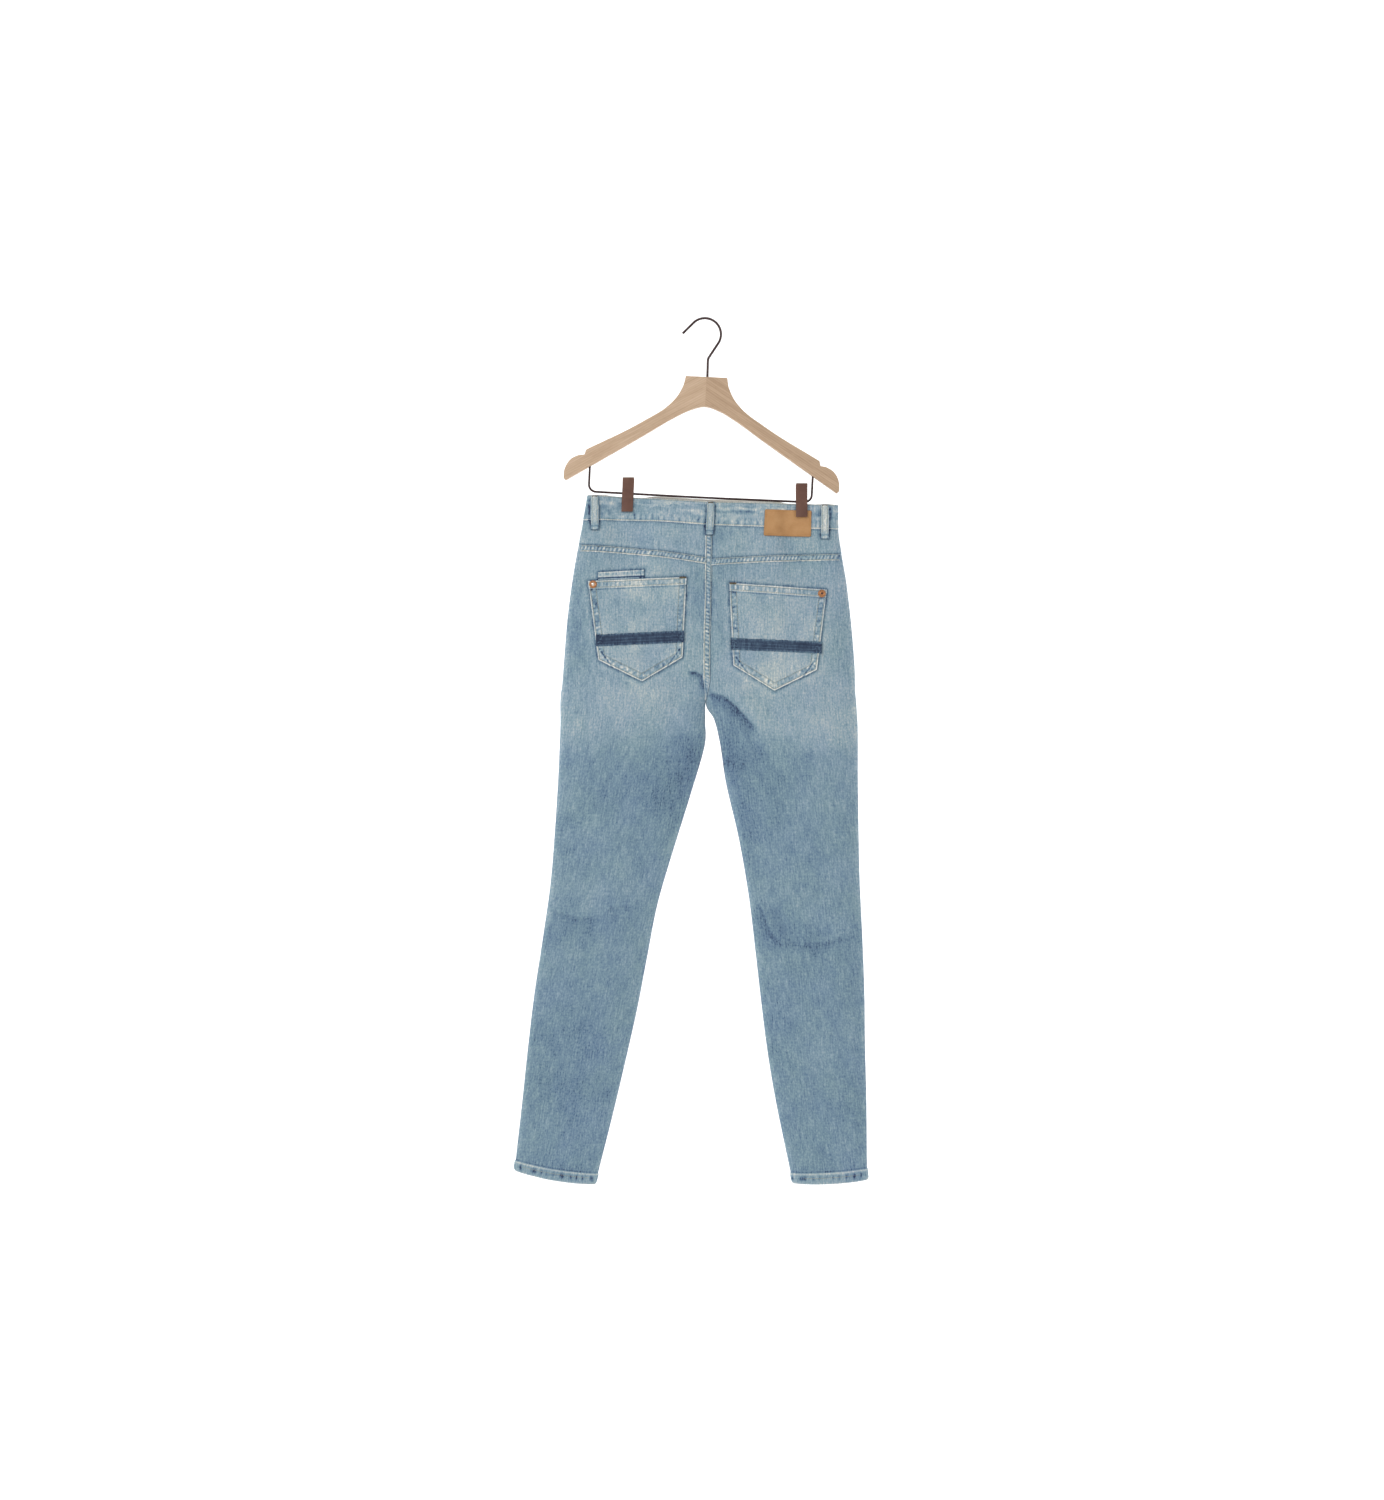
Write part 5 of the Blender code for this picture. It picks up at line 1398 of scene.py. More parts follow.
def ticket_pocket():
    (left_x, left_top), (right_x, right_top) = TICKET_POCKET
    _, top_outer, top_inner = POCKETS["left"][:3]

    def pocket_top(x):
        share = (x - top_outer[0]) / (top_inner[0] - top_outer[0])
        return top_outer[1] + (top_inner[1] - top_outer[1]) * share - SEAM_GAP

    corners = (
        (left_x, left_top),
        (right_x, right_top),
        (right_x, pocket_top(right_x)),
        (left_x, pocket_top(left_x)),
    )
    x, drop, over, down = strip_grid(corners, 22, 84)
    depth = down * TICKET_DEPTH
    from_end = from_ends(over, TICKET_WIDTH)
    marks = ticks(x, 6.5, 881)
    hem = 1 - smoothstep(8.4, 9.6, depth)
    relief = 0.5 * hem + 0.22 * marks * bump_line(depth - 4.4, 2.4)
    relief = relief - 0.2 * bump_line(depth - 1.6, 0.6) - 0.2 * bump_line(depth - 7.6, 0.6)
    relief = relief - 0.6 * (1 - smoothstep(0, 1.3, np.minimum(from_end, depth)))
    outer = points(*SIDES["left"].lay(BACK, x, drop, LYING_GAP + POCKET_WALL * 0.8 + relief))
    inner = points(*SIDES["left"].lay(BACK, x, drop, UNDERSIDE_GAP))
    blotches = noise(x / 3.4, drop / 3.4, 883)
    tone = 0.74 + (0.16 * marks + 0.12 * blotches) * bump_line(depth - 4.8, 2.4)
    tone = tone + 0.26 * bump_line(depth - 1.5, 0.8)
    # Painted shadow with unfaded indigo under the hem, round the edges and towards the right end.
    tone = tone + 0.22 * bump_line(depth - 8.0, 0.8) - 0.58 * bump_line(depth - 10.6, 1.3)
    tone = tone - 0.36 * bump_line(np.minimum(from_end, depth), 0.8) + 0.14 * bump_line(from_end - 1.7, 0.8)
    tone = tone - 0.20 * bump_line((1 - over) * TICKET_WIDTH - 5.0, 2.4)
    tone = tone - 0.34 * smoothstep(11, 13, depth) * (over > 0.88)
    grain = flat_grain(x, drop)
    shell("ticket_pocket_cloth", (outer, inner), tone, grain, ["ticket_pocket"], contrast=1.4)


def waist_patch():
    x, drop, over, down = strip_grid(PATCH_CORNERS, 44, 76)
    from_side, from_top = from_ends(over, PATCH_SIZE[0]), from_ends(down, PATCH_SIZE[1])
    edge = np.minimum(from_side, from_top)
    past = [np.clip(PATCH_ROUNDING - distance, 0, 9) for distance in (from_side, from_top)]
    pull = np.clip(PATCH_ROUNDING - np.hypot(*past), None, 0)
    x = x + np.sign(x - PATCH_CENTRE[0]) * pull * 0.7
    drop = drop + np.sign(drop - PATCH_CENTRE[1]) * pull * 0.7
    base = WAISTBAND_PROUD + SEAM_GAP
    dents = 0.16 * noise(x / 11, drop / 8, 905) - 0.28 * bump_line(edge - 2.3, 0.8)
    relief = dents - 0.5 * (1 - smoothstep(0, 1.0, edge))
    outer = points(*SIDES["right"].lay(BACK, x, drop, base + PATCH_WALL + relief))
    inner = points(*SIDES["right"].lay(BACK, x, drop, base - 0.2))
    tone = 0.55 + 0.05 * noise(x / 16, drop / 11, 906) - 0.30 * (1 - smoothstep(0, 1.1, edge))
    tone = tone - 0.10 * bump_line(edge - 2.5, 0.8) - 0.06 * smoothstep(0.6, 1, down)
    grain = flat_grain(x, drop)
    shell("waist_patch_leather", (outer, inner), tone, grain, ["waist_patch"], LEATHER)


def belt_loops():
    """The loops, and for each of them where its stitches go."""
    made = {}
    for name, (hand, face, top_x, bottom_x) in BELT_LOOPS.items():
        side, ends = loop_place(hand, top_x)
        top = ends[0] + (LOOP_TOP_BACK if face == BACK else LOOP_TOP_FRONT)
        bottom = ends[1] + LOOP_TAIL
        down = np.linspace(0, 1, 70)[:, None]
        wide = np.linspace(-0.5, 0.5, 17)[None, :] * LOOP_WIDTH
        seed = 921 + int(abs(top_x))
        length = bottom - top
        run = down * length
        centre = top_x + (bottom_x - top_x) * down + 0.35 * noise(run / 14, 0.5 + 0 * run, seed)
        x = centre + wide * (1 - 0.04 * np.cos(2 * math.pi * down))
        drop, run, wide = (np.broadcast_to(grid, x.shape) for grid in (top + length * down, run, wide))
        edge = np.minimum(LOOP_WIDTH / 2 - np.abs(wide), np.minimum(run, length - run))
        stand_off = LOOP_STAND_OFF * np.sin(math.pi * np.clip(down, 0.001, 1)) ** 0.6
        ridge = 0.30 * (1 - bump_line(np.abs(wide) - 3.7, 0.9)) + 0.10 * noise(run / 4, x / 3, seed + 1)
        folded_foot = 0.45 * smoothstep(length - 7.5, length - 6.5, run)
        relief = ridge + folded_foot - 0.8 * (1 - smoothstep(0, 1.2, edge))
        base = WAISTBAND_PROUD + UNDERSIDE_GAP + stand_off
        outer = points(*side.lay(face, x, drop, base + LOOP_WALL - 0.2 + relief))
        inner = points(*side.lay(face, x, drop, base))
        tone = LOOP_TONES.get(name, LOOP_TONE) + 0.05 * noise(run / 9, x / 3, seed + 2)
        tone = tone + 0.05 * bump_line(np.abs(wide), 2.0)
        tone = tone - 0.22 * bump_line(np.abs(wide) - 4.1, 0.6) + 0.08 * bump_line(edge - 1.3, 0.6)
        # A dark rim of painted shade with unfaded indigo, and painted shade over the folded foot.
        tone = tone - 0.60 * bump_line(edge, 0.65) - 0.12 * smoothstep(length - 15, length - 10, run)
        tone = tone - 0.26 * bump_line(run - (length - 6.2), 1.0)
        grain, nodes = flat_grain(wide, run), ["belt_loop_" + name]
        shell("belt_loop_cloth_" + name, (outer, inner), tone, grain, nodes, contrast=1.25)
        made[name] = (side, face, top_x, bottom_x, top, bottom)
    return made


def fly():
    side = SIDES["left"]
    top = side.columns["inner_drop"][STATION["waist_seam"]] + SEAM_GAP
    turn = np.sin(np.linspace(0, 0.48 * math.pi, 32)[1:])
    down = np.append(np.linspace(0, FLY_CURVE_START, 62), FLY_CURVE_START + (1 - FLY_CURVE_START) * turn)
    foot = np.clip((down - FLY_CURVE_START) / (1 - FLY_CURVE_START), 0, 1)
    width = FLY_WIDTH * np.sqrt(1 - foot**2) + FLY_FOOT_WIDTH * foot
    over = np.linspace(0, 1, 30)[None, :]
    x = CENTRE_FRONT_X + FLY_LAP - width[:, None] * over
    drop = np.broadcast_to((top + FLY_LENGTH * down)[:, None] - 1.0 * over, x.shape)
    inner_edge = over * width[:, None]
    outer_edge = (1 - over) * width[:, None]
    marks = ticks(drop, 6.6, 951)
    relief = 0.18 * marks * bump_line(outer_edge - 6, 4) + 0.2 * noise(x / 12, drop / 22, 952)
    relief = relief - 0.2 * bump_line(outer_edge - 4.0, 0.8) - 0.2 * bump_line(outer_edge - 10.5, 0.8)
    relief = relief - 0.7 * (1 - smoothstep(0, 1.3, np.minimum(inner_edge, outer_edge)))
    outer = points(*side.lay(FRONT, x, drop, LYING_GAP * 0.6 + FLY_WALL + relief))
    inner = points(*side.lay(FRONT, x, drop, UNDERSIDE_GAP))
    tone = fade_and_shade(FRONT, x, drop) + 0.04 + 0.16 * bump_line(inner_edge - 0.6, 0.9)
    tone = tone + 0.07 * marks * bump_line(outer_edge - 7, 4)
    tone = tone - 0.08 * bump_line(outer_edge - 4.6, 0.9) - 0.08 * bump_line(outer_edge - 11.2, 0.9)
    shell("fly_cloth", (outer, inner), tone, flat_grain(x, drop), ["fly"], contrast=1.4)


# ------------------------------------------------------------------ stitches and hardware


def row_points(x, y, drop):
    """Points of a stitch row, in millimetres."""
    return np.stack([x, y, -drop], axis=-1)


def stitch_rows(name, rows, material=THREAD, radius=STITCH_RADIUS, pitch=STITCH_PITCH, length=STITCH_LENGTH):
    """Rows of sewn stitches. A row is its points in millimetres and the surface's outward direction."""
    sides = 5
    turns = [2 * math.pi * k / sides for k in range(sides)]
    rings = [(along, math.cos(turn), math.sin(turn)) for along in (-0.32, 0.32) for turn in turns]
    template = np.array([(-0.5, 0.0, 0.0), *rings, (0.5, 0.0, 0.0)])
    faces = [(0, 1 + (k + 1) % sides, 1 + k) for k in range(sides)]
    for k in range(sides):
        a, b = 1 + k, 1 + (k + 1) % sides
        faces += [(a, b, b + sides), (a, b + sides, a + sides)]
    last = len(template) - 1
    faces += [(last, 1 + sides + k, 1 + sides + (k + 1) % sides) for k in range(sides)]
    faces = np.array(faces)
    starts, ends, outs = [], [], []
    for line, out in rows:
        line = np.asarray(line, float)
        out = np.broadcast_to(np.asarray(out, float), line.shape)
        run = lengths_along(line)
        count = int((run[-1] - length) // pitch) + 1
        if count < 1:
            continue
        begin = np.arange(count) * pitch + (run[-1] - length - (count - 1) * pitch) / 2
        reads = (begin, line, starts), (begin + length, line, ends), (begin + length / 2, out, outs)
        for at, values, store in reads:
            store.append(read_along(at, run, values))
    start, end, out = (np.concatenate(part) for part in (starts, ends, outs))
    axis = end - start
    span = np.linalg.norm(axis, axis=1, keepdims=True)
    axis = axis / span
    out = out - axis * np.sum(out * axis, axis=1, keepdims=True)
    out = out / np.linalg.norm(out, axis=1, keepdims=True)
    side = np.cross(axis, out)
    centre = (start + end) / 2
    corners = (
        centre[:, None, :]
        + template[None, :, :1] * (axis * span)[:, None, :]
        + template[None, :, 1:2] * radius * out[:, None, :] * 0.8
        + template[None, :, 2:] * radius * side[:, None, :]
    )
    count = len(start)
    every = faces[None, :, :] + np.arange(count)[:, None, None] * len(template)
    mesh_piece(name, corners.reshape(-1, 3) * MM, every.reshape(-1, 3), material, sharp=0)


def row_on(lay, line, out):
    """A stitch row along x and drop points, standing a little out of the cloth."""
    x, drop = along_line(line, STITCH_ROW_STEP)[:2] if len(line) > 2 else straight(*line)
    px, py, pdrop = lay(x, drop, out)
    return row_points(px, py, pdrop), np.array([0.0, math.copysign(1, np.mean(py)), 0.0])


def straight(start, end):
    """Evenly spaced x and drop from one point to another."""
    (x0, drop0), (x1, drop1) = start, end
    count = max(2, round(math.hypot(x1 - x0, drop1 - drop0) / STITCH_ROW_STEP) + 1)
    t = np.linspace(0, 1, count)
    return x0 + (x1 - x0) * t, drop0 + (drop1 - drop0) * t


def lay_on(side, face):
    return lambda x, drop, out: side.lay(face, x, drop, out)


def offset_line(corners, distance):
    """A line of corners moved inwards, to its left when followed."""
    corners = [np.array(c, float) for c in corners]
    steps = [end - start for start, end in zip(corners, corners[1:])]
    normals = [np.array([-d[1], d[0]]) / np.linalg.norm(d) for d in steps]
    moved = [corners[0] + normals[0] * distance]
    for here, before, after in zip(corners[1:], normals, normals[1:]):
        mean = before + after
        moved.append(here + mean * distance * 2 / np.dot(mean, mean))
    moved.append(corners[-1] + normals[-1] * distance)
    return [tuple(p) for p in moved]


def polyline_rows(lay, corners, out):
    """One row for each straight run between corners."""
    return [row_on(lay, (a, b), out) for a, b in zip(corners, corners[1:])]


def pocket_stitches():
    out = LYING_GAP + POCKET_WALL + 0.2
    for name, pocket in POCKETS.items():
        side = SIDES[name]
        lay = lay_on(side, BACK)
        corners = pocket_outline(pocket)
        path = [*corners[1:], corners[0]]
        hand = -side.hand
        rows = []
        for distance in (3.0, 11.2):
            rows += polyline_rows(lay, offset_line(path, hand * distance), out + 0.1)
        # The inner rows run on past the point and cross, which leaves a small diamond.
        inner = offset_line(path, hand * 11.2)
        tip, low, high = (np.array(inner[k]) for k in (2, 1, 3))
        for from_corner in (low, high):
            direction = (tip - from_corner) / np.linalg.norm(tip - from_corner)
            rows += polyline_rows(lay, [tuple(tip), tuple(tip + direction * 8.5)], out + 0.1)
        (outer_x, outer_drop), (inner_x, inner_drop) = corners[:2]
        for distance in (3.0, 10.8):
            moved = [(outer_x + hand * 2, outer_drop + distance), (inner_x - hand * 2, inner_drop + distance)]
            rows += polyline_rows(lay, moved, out + POCKET_HEM_PROUD * 0.8)
        stitch_rows("back_pocket_stitches_" + name, rows)
        tacks = []
        for k in range(5):
            start = inner_x - hand * 0.4, inner_drop + 0.5 + TACK_SPACING * k
            tacks.append(row_on(lay, (start, (start[0] - hand * 12.0, start[1] + 0.3)), out + 0.75))
        stitch_rows("back_pocket_bartack_" + name, tacks, BARTACK, TACK_RADIUS, 12.1, 11.8)


def seam_stitches():
    rows = []
    for side in SIDES.values():
        lay = lay_on(side, BACK)
        shares = np.linspace(0.035, 0.975, 24)
        x, drop = side.place(np.full(24, float(STATION["yoke_seam"])), shares, 0.0)
        for offset in (2.3, FELL_WIDTH - 1.5):
            rows.append(row_on(lay, list(zip(x, drop + offset)), FELL_LIFT + FELL_WALL))
    stitch_rows("yoke_seam_stitches", rows)

    def lay(x, drop, out):
        return x, lay_back(x, drop, out), drop

    rows = []
    x, drop, direction, _ = along_line(CENTRE_SEAM, 4.0)
    for offset in (-FELL_WIDTH / 2 + 1.9, FELL_WIDTH / 2 - 1.9):
        line = list(zip(x - direction[:, 1] * offset, drop + direction[:, 0] * offset))
        rows.append(row_on(lay, line[:-8], FELL_LIFT + FELL_WALL))
    stitch_rows("centre_seam_stitches", rows)


def waist_stitches():
    rows = []
    for side in SIDES.values():
        for face in (BACK, FRONT):
            for station in (2.4 / WAISTBAND_DEPTH, 1 - 2.4 / WAISTBAND_DEPTH):
                shares = np.linspace(0.015, 0.985, 60)
                stations = np.full(60, station)
                x, drop = side.place(stations, shares, 0.0)
                y = side.height(face, stations, shares, x, drop, WAISTBAND_PROUD + 0.12, seam=0.0)
                if face == FRONT:
                    drop = drop - front_rise(stations, shares, x, drop)
                    y = y + (waistband_over(shares) if side.hand == LEFT else 0)
                rows.append((row_points(x, face * y, drop), (0.0, face, 0.0)))
    stitch_rows("waistband_stitches", rows)


def hem_stitches():
    for name, side in SIDES.items():
        for face, label in ((BACK, "back"), (FRONT, "front")):
            shares = np.linspace(0.03, 0.97, 40)
            station = np.full(40, STATION["hem_stitch"] + 0.16)
            x, drop = side.place(station, shares, 0.0)
            y = side.height(face, station, shares, x, drop, HEM_PROUD)
            line = row_points(x, face * (y + 0.1), drop)
            stitch_rows(f"hem_stitches_{label}_{name}", [(line, (0.0, face, 0.0))])


def front_stitches():
    rows = []
    for side in SIDES.values():
        stations = scoop_stations(side, 40)[1:-1]
        width = side.width(stations)
        for distance in (2.2, 8.4):
            across = scoop(stations) - distance / width
            x, drop = side.place(stations, across, 0.0)
            y = side.height(FRONT, stations, across, x, drop, 0.15)
            rows.append((row_points(x, y, drop), (0.0, 1.0, 0.0)))
    stitch_rows("front_pocket_stitches", rows)


def fly_stitches():
    """The two J-shaped rows that hold the fly."""
    side = SIDES["left"]
    top = side.columns["inner_drop"][STATION["waist_seam"]]
    rows = []
    for inset in (4.0, 10.5):
        x = CENTRE_FRONT_X + FLY_LAP - FLY_WIDTH + inset
        line = [(x, top + 2 + d) for d in np.linspace(0, 100, 8)]
        reach = FLY_WIDTH - inset - 3
        for a in np.linspace(0, math.pi / 2, 10)[1:]:
            line.append((x + reach * (1 - math.cos(a)), top + 102 + (44 - inset) * math.sin(a)))
        rows.append(row_on(lay_on(side, FRONT), line, LYING_GAP * 0.6 + FLY_WALL + 0.1))
    stitch_rows("fly_stitches", rows)


def loop_stitches(loops):
    """The two rows down each belt loop and the bartacks at its ends."""
    for name, (side, face, top_x, bottom_x, top, bottom) in loops.items():
        rows, tacks = [], []
        for inset in (-3.9, 3.9):
            down = np.linspace(0.03, 0.84, 22)
            x = top_x + (bottom_x - top_x) * down + inset
            drop = top + (bottom - top) * down
            out = WAISTBAND_PROUD + 0.15 + LOOP_STAND_OFF * np.sin(math.pi * down) ** 0.6 + LOOP_WALL
            rows.append((row_points(*side.lay(face, x, drop, out)), (0.0, face, 0.0)))
        for centre_drop, share in ((top + 1.4, 0.02), (bottom - 3.6, 0.94)):
            lift = LOOP_STAND_OFF * math.sin(math.pi * share) ** 0.6
            x0 = top_x + (bottom_x - top_x) * share
            xs = np.linspace(x0 - 4.6, x0 + 4.6, 8)
            out = WAISTBAND_PROUD + 0.35 + lift + LOOP_WALL
            for k in range(4):
                drops = np.full(8, centre_drop + (k - 1.5) * TACK_SPACING)
                tacks.append((row_points(*side.lay(face, xs, drops, out)), (0.0, face, 0.0)))
        stitch_rows("belt_loop_stitches_" + name, rows)
        stitch_rows("belt_loop_bartacks_" + name, tacks, BARTACK, TACK_RADIUS, 9.2, 8.8)


def turned(name, radius, profile, material, steps=56):
    """A piece turned about its own Z axis, from shares of its radius and heights."""
    angles = np.linspace(0, 2 * math.pi, steps, endpoint=False)
    rings = [(share * radius, height) for share, height in profile[1:-1]]
    corners = [(0, 0, profile[0][1])]
    for r, h in rings:
        corners += [(r * math.cos(a), r * math.sin(a), h) for a in angles]
    corners.append((0, 0, profile[-1][1]))
    mesh = bpy.data.meshes.new(name)
    faces = [(0, 1 + k, 1 + (k + 1) % steps) for k in range(steps)]
    for ring in range(len(rings) - 1):
        a = 1 + ring * steps
        for k in range(steps):
            faces.append((a + k, a + steps + k, a + steps + (k + 1) % steps, a + (k + 1) % steps))
    last = 1 + (len(rings) - 1) * steps
    faces += [(len(corners) - 1, last + (k + 1) % steps, last + k) for k in range(steps)]
    mesh.from_pydata([(x * MM, y * MM, z * MM) for x, y, z in corners], [], faces)
    return finished(name, mesh, material, 38)


def seat_on(obj, side, face, x, drop, out):
    """Sets a turned piece on the garment with its axis along the surface's normal."""
    reach = 4.0
    xs = np.array([x, x - reach, x + reach, x, x])
    drops = np.array([drop, drop, drop, drop - reach, drop + reach], float)
    spot = points(*side.lay(face, xs, drops, 0.0))
    normal = np.cross(spot[2] - spot[1], spot[4] - spot[3])
    normal = normal / np.linalg.norm(normal)
    if normal[1] * face < 0:
        normal = -normal
    obj.location = spot[0] + normal * out * MM
    obj.rotation_euler = Vector(normal).to_track_quat("Z", "Y").to_euler()


# Shares of the radius, and heights, of the turned pieces.
RIVET_PROFILE = (
    (0, 1.7), (0.28, 1.75), (0.36, 1.5), (0.42, 1.35), (0.5, 1.75), (0.62, 2.05), (0.74, 2.0), (0.86, 1.65),
    (0.95, 1.15), (1, 0.55), (0.98, 0.05), (0.9, -0.2), (0, -0.2),
)
CAP_PROFILE = ((0, 2.5), (0.4, 2.4), (0.75, 2.1), (0.95, 1.7), (1, 1.3), (0.9, 1.1), (0, 1.1))
CAPS = {"left": (0.45, BRIGHT), "right": (0.36, BRONZE)}
BUTTON_PROFILE = (
    (0, 3.3), (0.18, 3.35), (0.3, 3.2), (0.42, 3.2), (0.55, 3.1), (0.66, 2.85), (0.74, 3.0), (0.82, 3.45),
    (0.9, 3.6), (0.97, 3.3), (1, 2.7), (0.97, 2.0), (0.86, 1.5), (0.4, 1.2), (0.35, 1.1), (0.35, 0.0),
    (0, 0.0),
)
BUTTON_RADIUS = 8.5


def rivets_and_button():
    out = LYING_GAP + POCKET_WALL + POCKET_HEM_PROUD + 0.5
    for name, (hand, x, drop) in RIVETS.items():
        side = SIDES[SIDE_NAME[hand]]
        ring = turned("rivet_ring_" + name, RIVET_RADIUS, RIVET_PROFILE, COPPER)
        seat_on(ring, side, BACK, x, drop, out)
        shown(ring, ["rivet_" + name])
        share, metal = CAPS[name]
        cap = turned("rivet_cap_" + name, RIVET_RADIUS * share, CAP_PROFILE, metal, 32)
        seat_on(cap, side, BACK, x, drop, out - 0.3)
        shown(cap)
    side = SIDES["right"]
    drops = side.columns["inner_drop"]
    button = turned("waist_button_head", BUTTON_RADIUS, BUTTON_PROFILE, COPPER, 72)
    drop = (drops[0] + drops[1]) / 2 - 2.0
    out = WAISTBAND_PROUD + WAISTBAND_WALL + 3 * SEAM_GAP
    seat_on(button, side, FRONT, CENTRE_FRONT_X + 1.5, drop, out)
    shown(button, ["waist_button"])


# The hanger. Its body's outline is x, drop, and whether the outline turns a corner there.
HANGER_TILT = math.radians(2.8)
HANGER_ORIGIN = (5.9, 0.8)
HANGER_THICKNESS = 12.0
HANGER_ROUNDING = 2.6
BODY_SHIFT = (1.0, 1.3)
HANGER_OUTLINE = (
    (31.5, 86.3, True), (35.5, 103, False), (51, 127.5, False), (91, 157, False), (177.5, 205.5, True),
    (179.5, 213, True), (188, 214, True), (200, 221, False), (208.5, 236, False), (209.5, 250, True),
    (206, 253, True), (91, 179.5, False), (45, 149.5, False), (20, 136.5, False),
)
COLLAR_DROP, ARCH_DROP = 86.3, 131.3
ARM_SLOPE = math.radians(-31)
WIRE_RADIUS = 1.65
HOOK_RADIUS = 24.5
HOOK_TIP = (-33.0, 21.0)
HOOK_NECK = ((6.6, 57.4), (5.2, 60.0), (4.7, 62.6), (4.5, 65.5), (4.3, 74.0), (4.0, 84.0), (3.6, 97.0))
BAR_HALF_SPAN, BAR_DROP, BAR_SAG, BAR_TOP, BAR_CORNER, BAR_RADIUS = 169.5, 269.5, 1.0, 219.0, 11.0, 1.5
COIL_TURNS, COIL_LENGTH, COIL_RADIUS, COIL_WIRE_RADIUS = 6, 8, 2.45, 0.5
CLIP_ROUNDING = 0.6
MERGE_DISTANCE = 0.00001


def sharp_rim(shape):
    """Merges a shape's doubled corners and gives its square edges."""
    bmesh.ops.remove_doubles(shape, verts=shape.verts, dist=MERGE_DISTANCE)
    square = math.radians(50)
    return [e for e in shape.edges if len(e.link_faces) == 2 and e.calc_face_angle(0) > square]


def hanger_matrix():
    place = Matrix.Translation((HANGER_ORIGIN[0] * MM, 0, -HANGER_ORIGIN[1] * MM))
    return place @ Matrix.Rotation(HANGER_TILT, 4, "Y")


def hanger_half(name, hand, tone):
    """Half of the wooden body, with the grain running down its own arm."""
    curve = bpy.data.curves.new(name, "CURVE")
    curve.dimensions = "2D"
    curve.fill_mode = "BOTH"
    curve.extrude = HANGER_THICKNESS / 2 * MM
    curve.resolution_u = 16
    outline = [(0.0, COLLAR_DROP, True), *((x * hand, drop, corner) for x, drop, corner in HANGER_OUTLINE)]
    outline.append((0.0, ARCH_DROP, True))
    outline = [(x + BODY_SHIFT[0], drop + BODY_SHIFT[1], corner) for x, drop, corner in outline]
    line = curve.splines.new("BEZIER")
    line.bezier_points.add(len(outline) - 1)
    for point, (x, drop, corner) in zip(line.bezier_points, outline):
        point.co = (x * MM, -drop * MM, 0)
        point.handle_left_type = point.handle_right_type = "VECTOR" if corner else "AUTO"
    foot = line.bezier_points[-1]
    foot.handle_left_type = foot.handle_right_type = "FREE"
    foot.handle_left = foot.co + Vector((hand * 7 * MM, 0, 0))
    foot.handle_right = foot.co
    line.use_cyclic_u = True
    holder = linked(name + "_curve", curve)
    mesh = bpy.data.meshes.new_from_object(holder.evaluated_get(bpy.context.evaluated_depsgraph_get()))
    bpy.data.objects.remove(holder, do_unlink=True)
    mesh.name = name
    shape = bmesh.new()
    shape.from_mesh(mesh)

    def joined(edge):
        """Whether an edge lies where the two halves meet, which stays square."""
        near, far = (v.co.x - BODY_SHIFT[0] * MM for v in edge.verts)
        return min(abs(near), abs(far)) <= MERGE_DISTANCE and abs(near - far) <= MERGE_DISTANCE

    rim = [e for e in sharp_rim(shape) if not joined(e)]
    rounding = {"offset": HANGER_ROUNDING * MM, "segments": 5, "profile": 0.5, "clamp_overlap": True}
    bmesh.ops.bevel(shape, geom=rim, affect="EDGES", **rounding)
    bmesh.ops.triangulate(shape, faces=[f for f in shape.faces if len(f.verts) > 4])
    shape.to_mesh(mesh)
    shape.free()
    co = np.zeros(len(mesh.vertices) * 3)
    mesh.vertices.foreach_get("co", co)
    co = co.reshape(-1, 3) / MM
    angle = ARM_SLOPE * hand
    along = co[:, 0] * math.cos(angle) + co[:, 1] * math.sin(angle)
    across = -co[:, 0] * math.sin(angle) + co[:, 1] * math.cos(angle)
    set_attribute(mesh, "grain", "FLOAT_VECTOR", np.stack([along + 400 * hand, across, co[:, 2]], axis=-1))
    set_attribute(mesh, "tone", "FLOAT", np.full(len(co), tone))
    obj = finished(name, mesh, WOOD, 35)
    obj.matrix_world = hanger_matrix() @ Matrix.Rotation(math.pi / 2, 4, "X")
    shown(obj, ["hanger_body"])


def arc(centre, radius, start, end, steps):
    """Points on an arc, in degrees anticlockwise from +X, with drop downwards."""
    angles = np.radians(np.linspace(start, end, steps + 1))
    return [(centre[0] + radius * math.cos(a), centre[1] - radius * math.sin(a)) for a in angles]


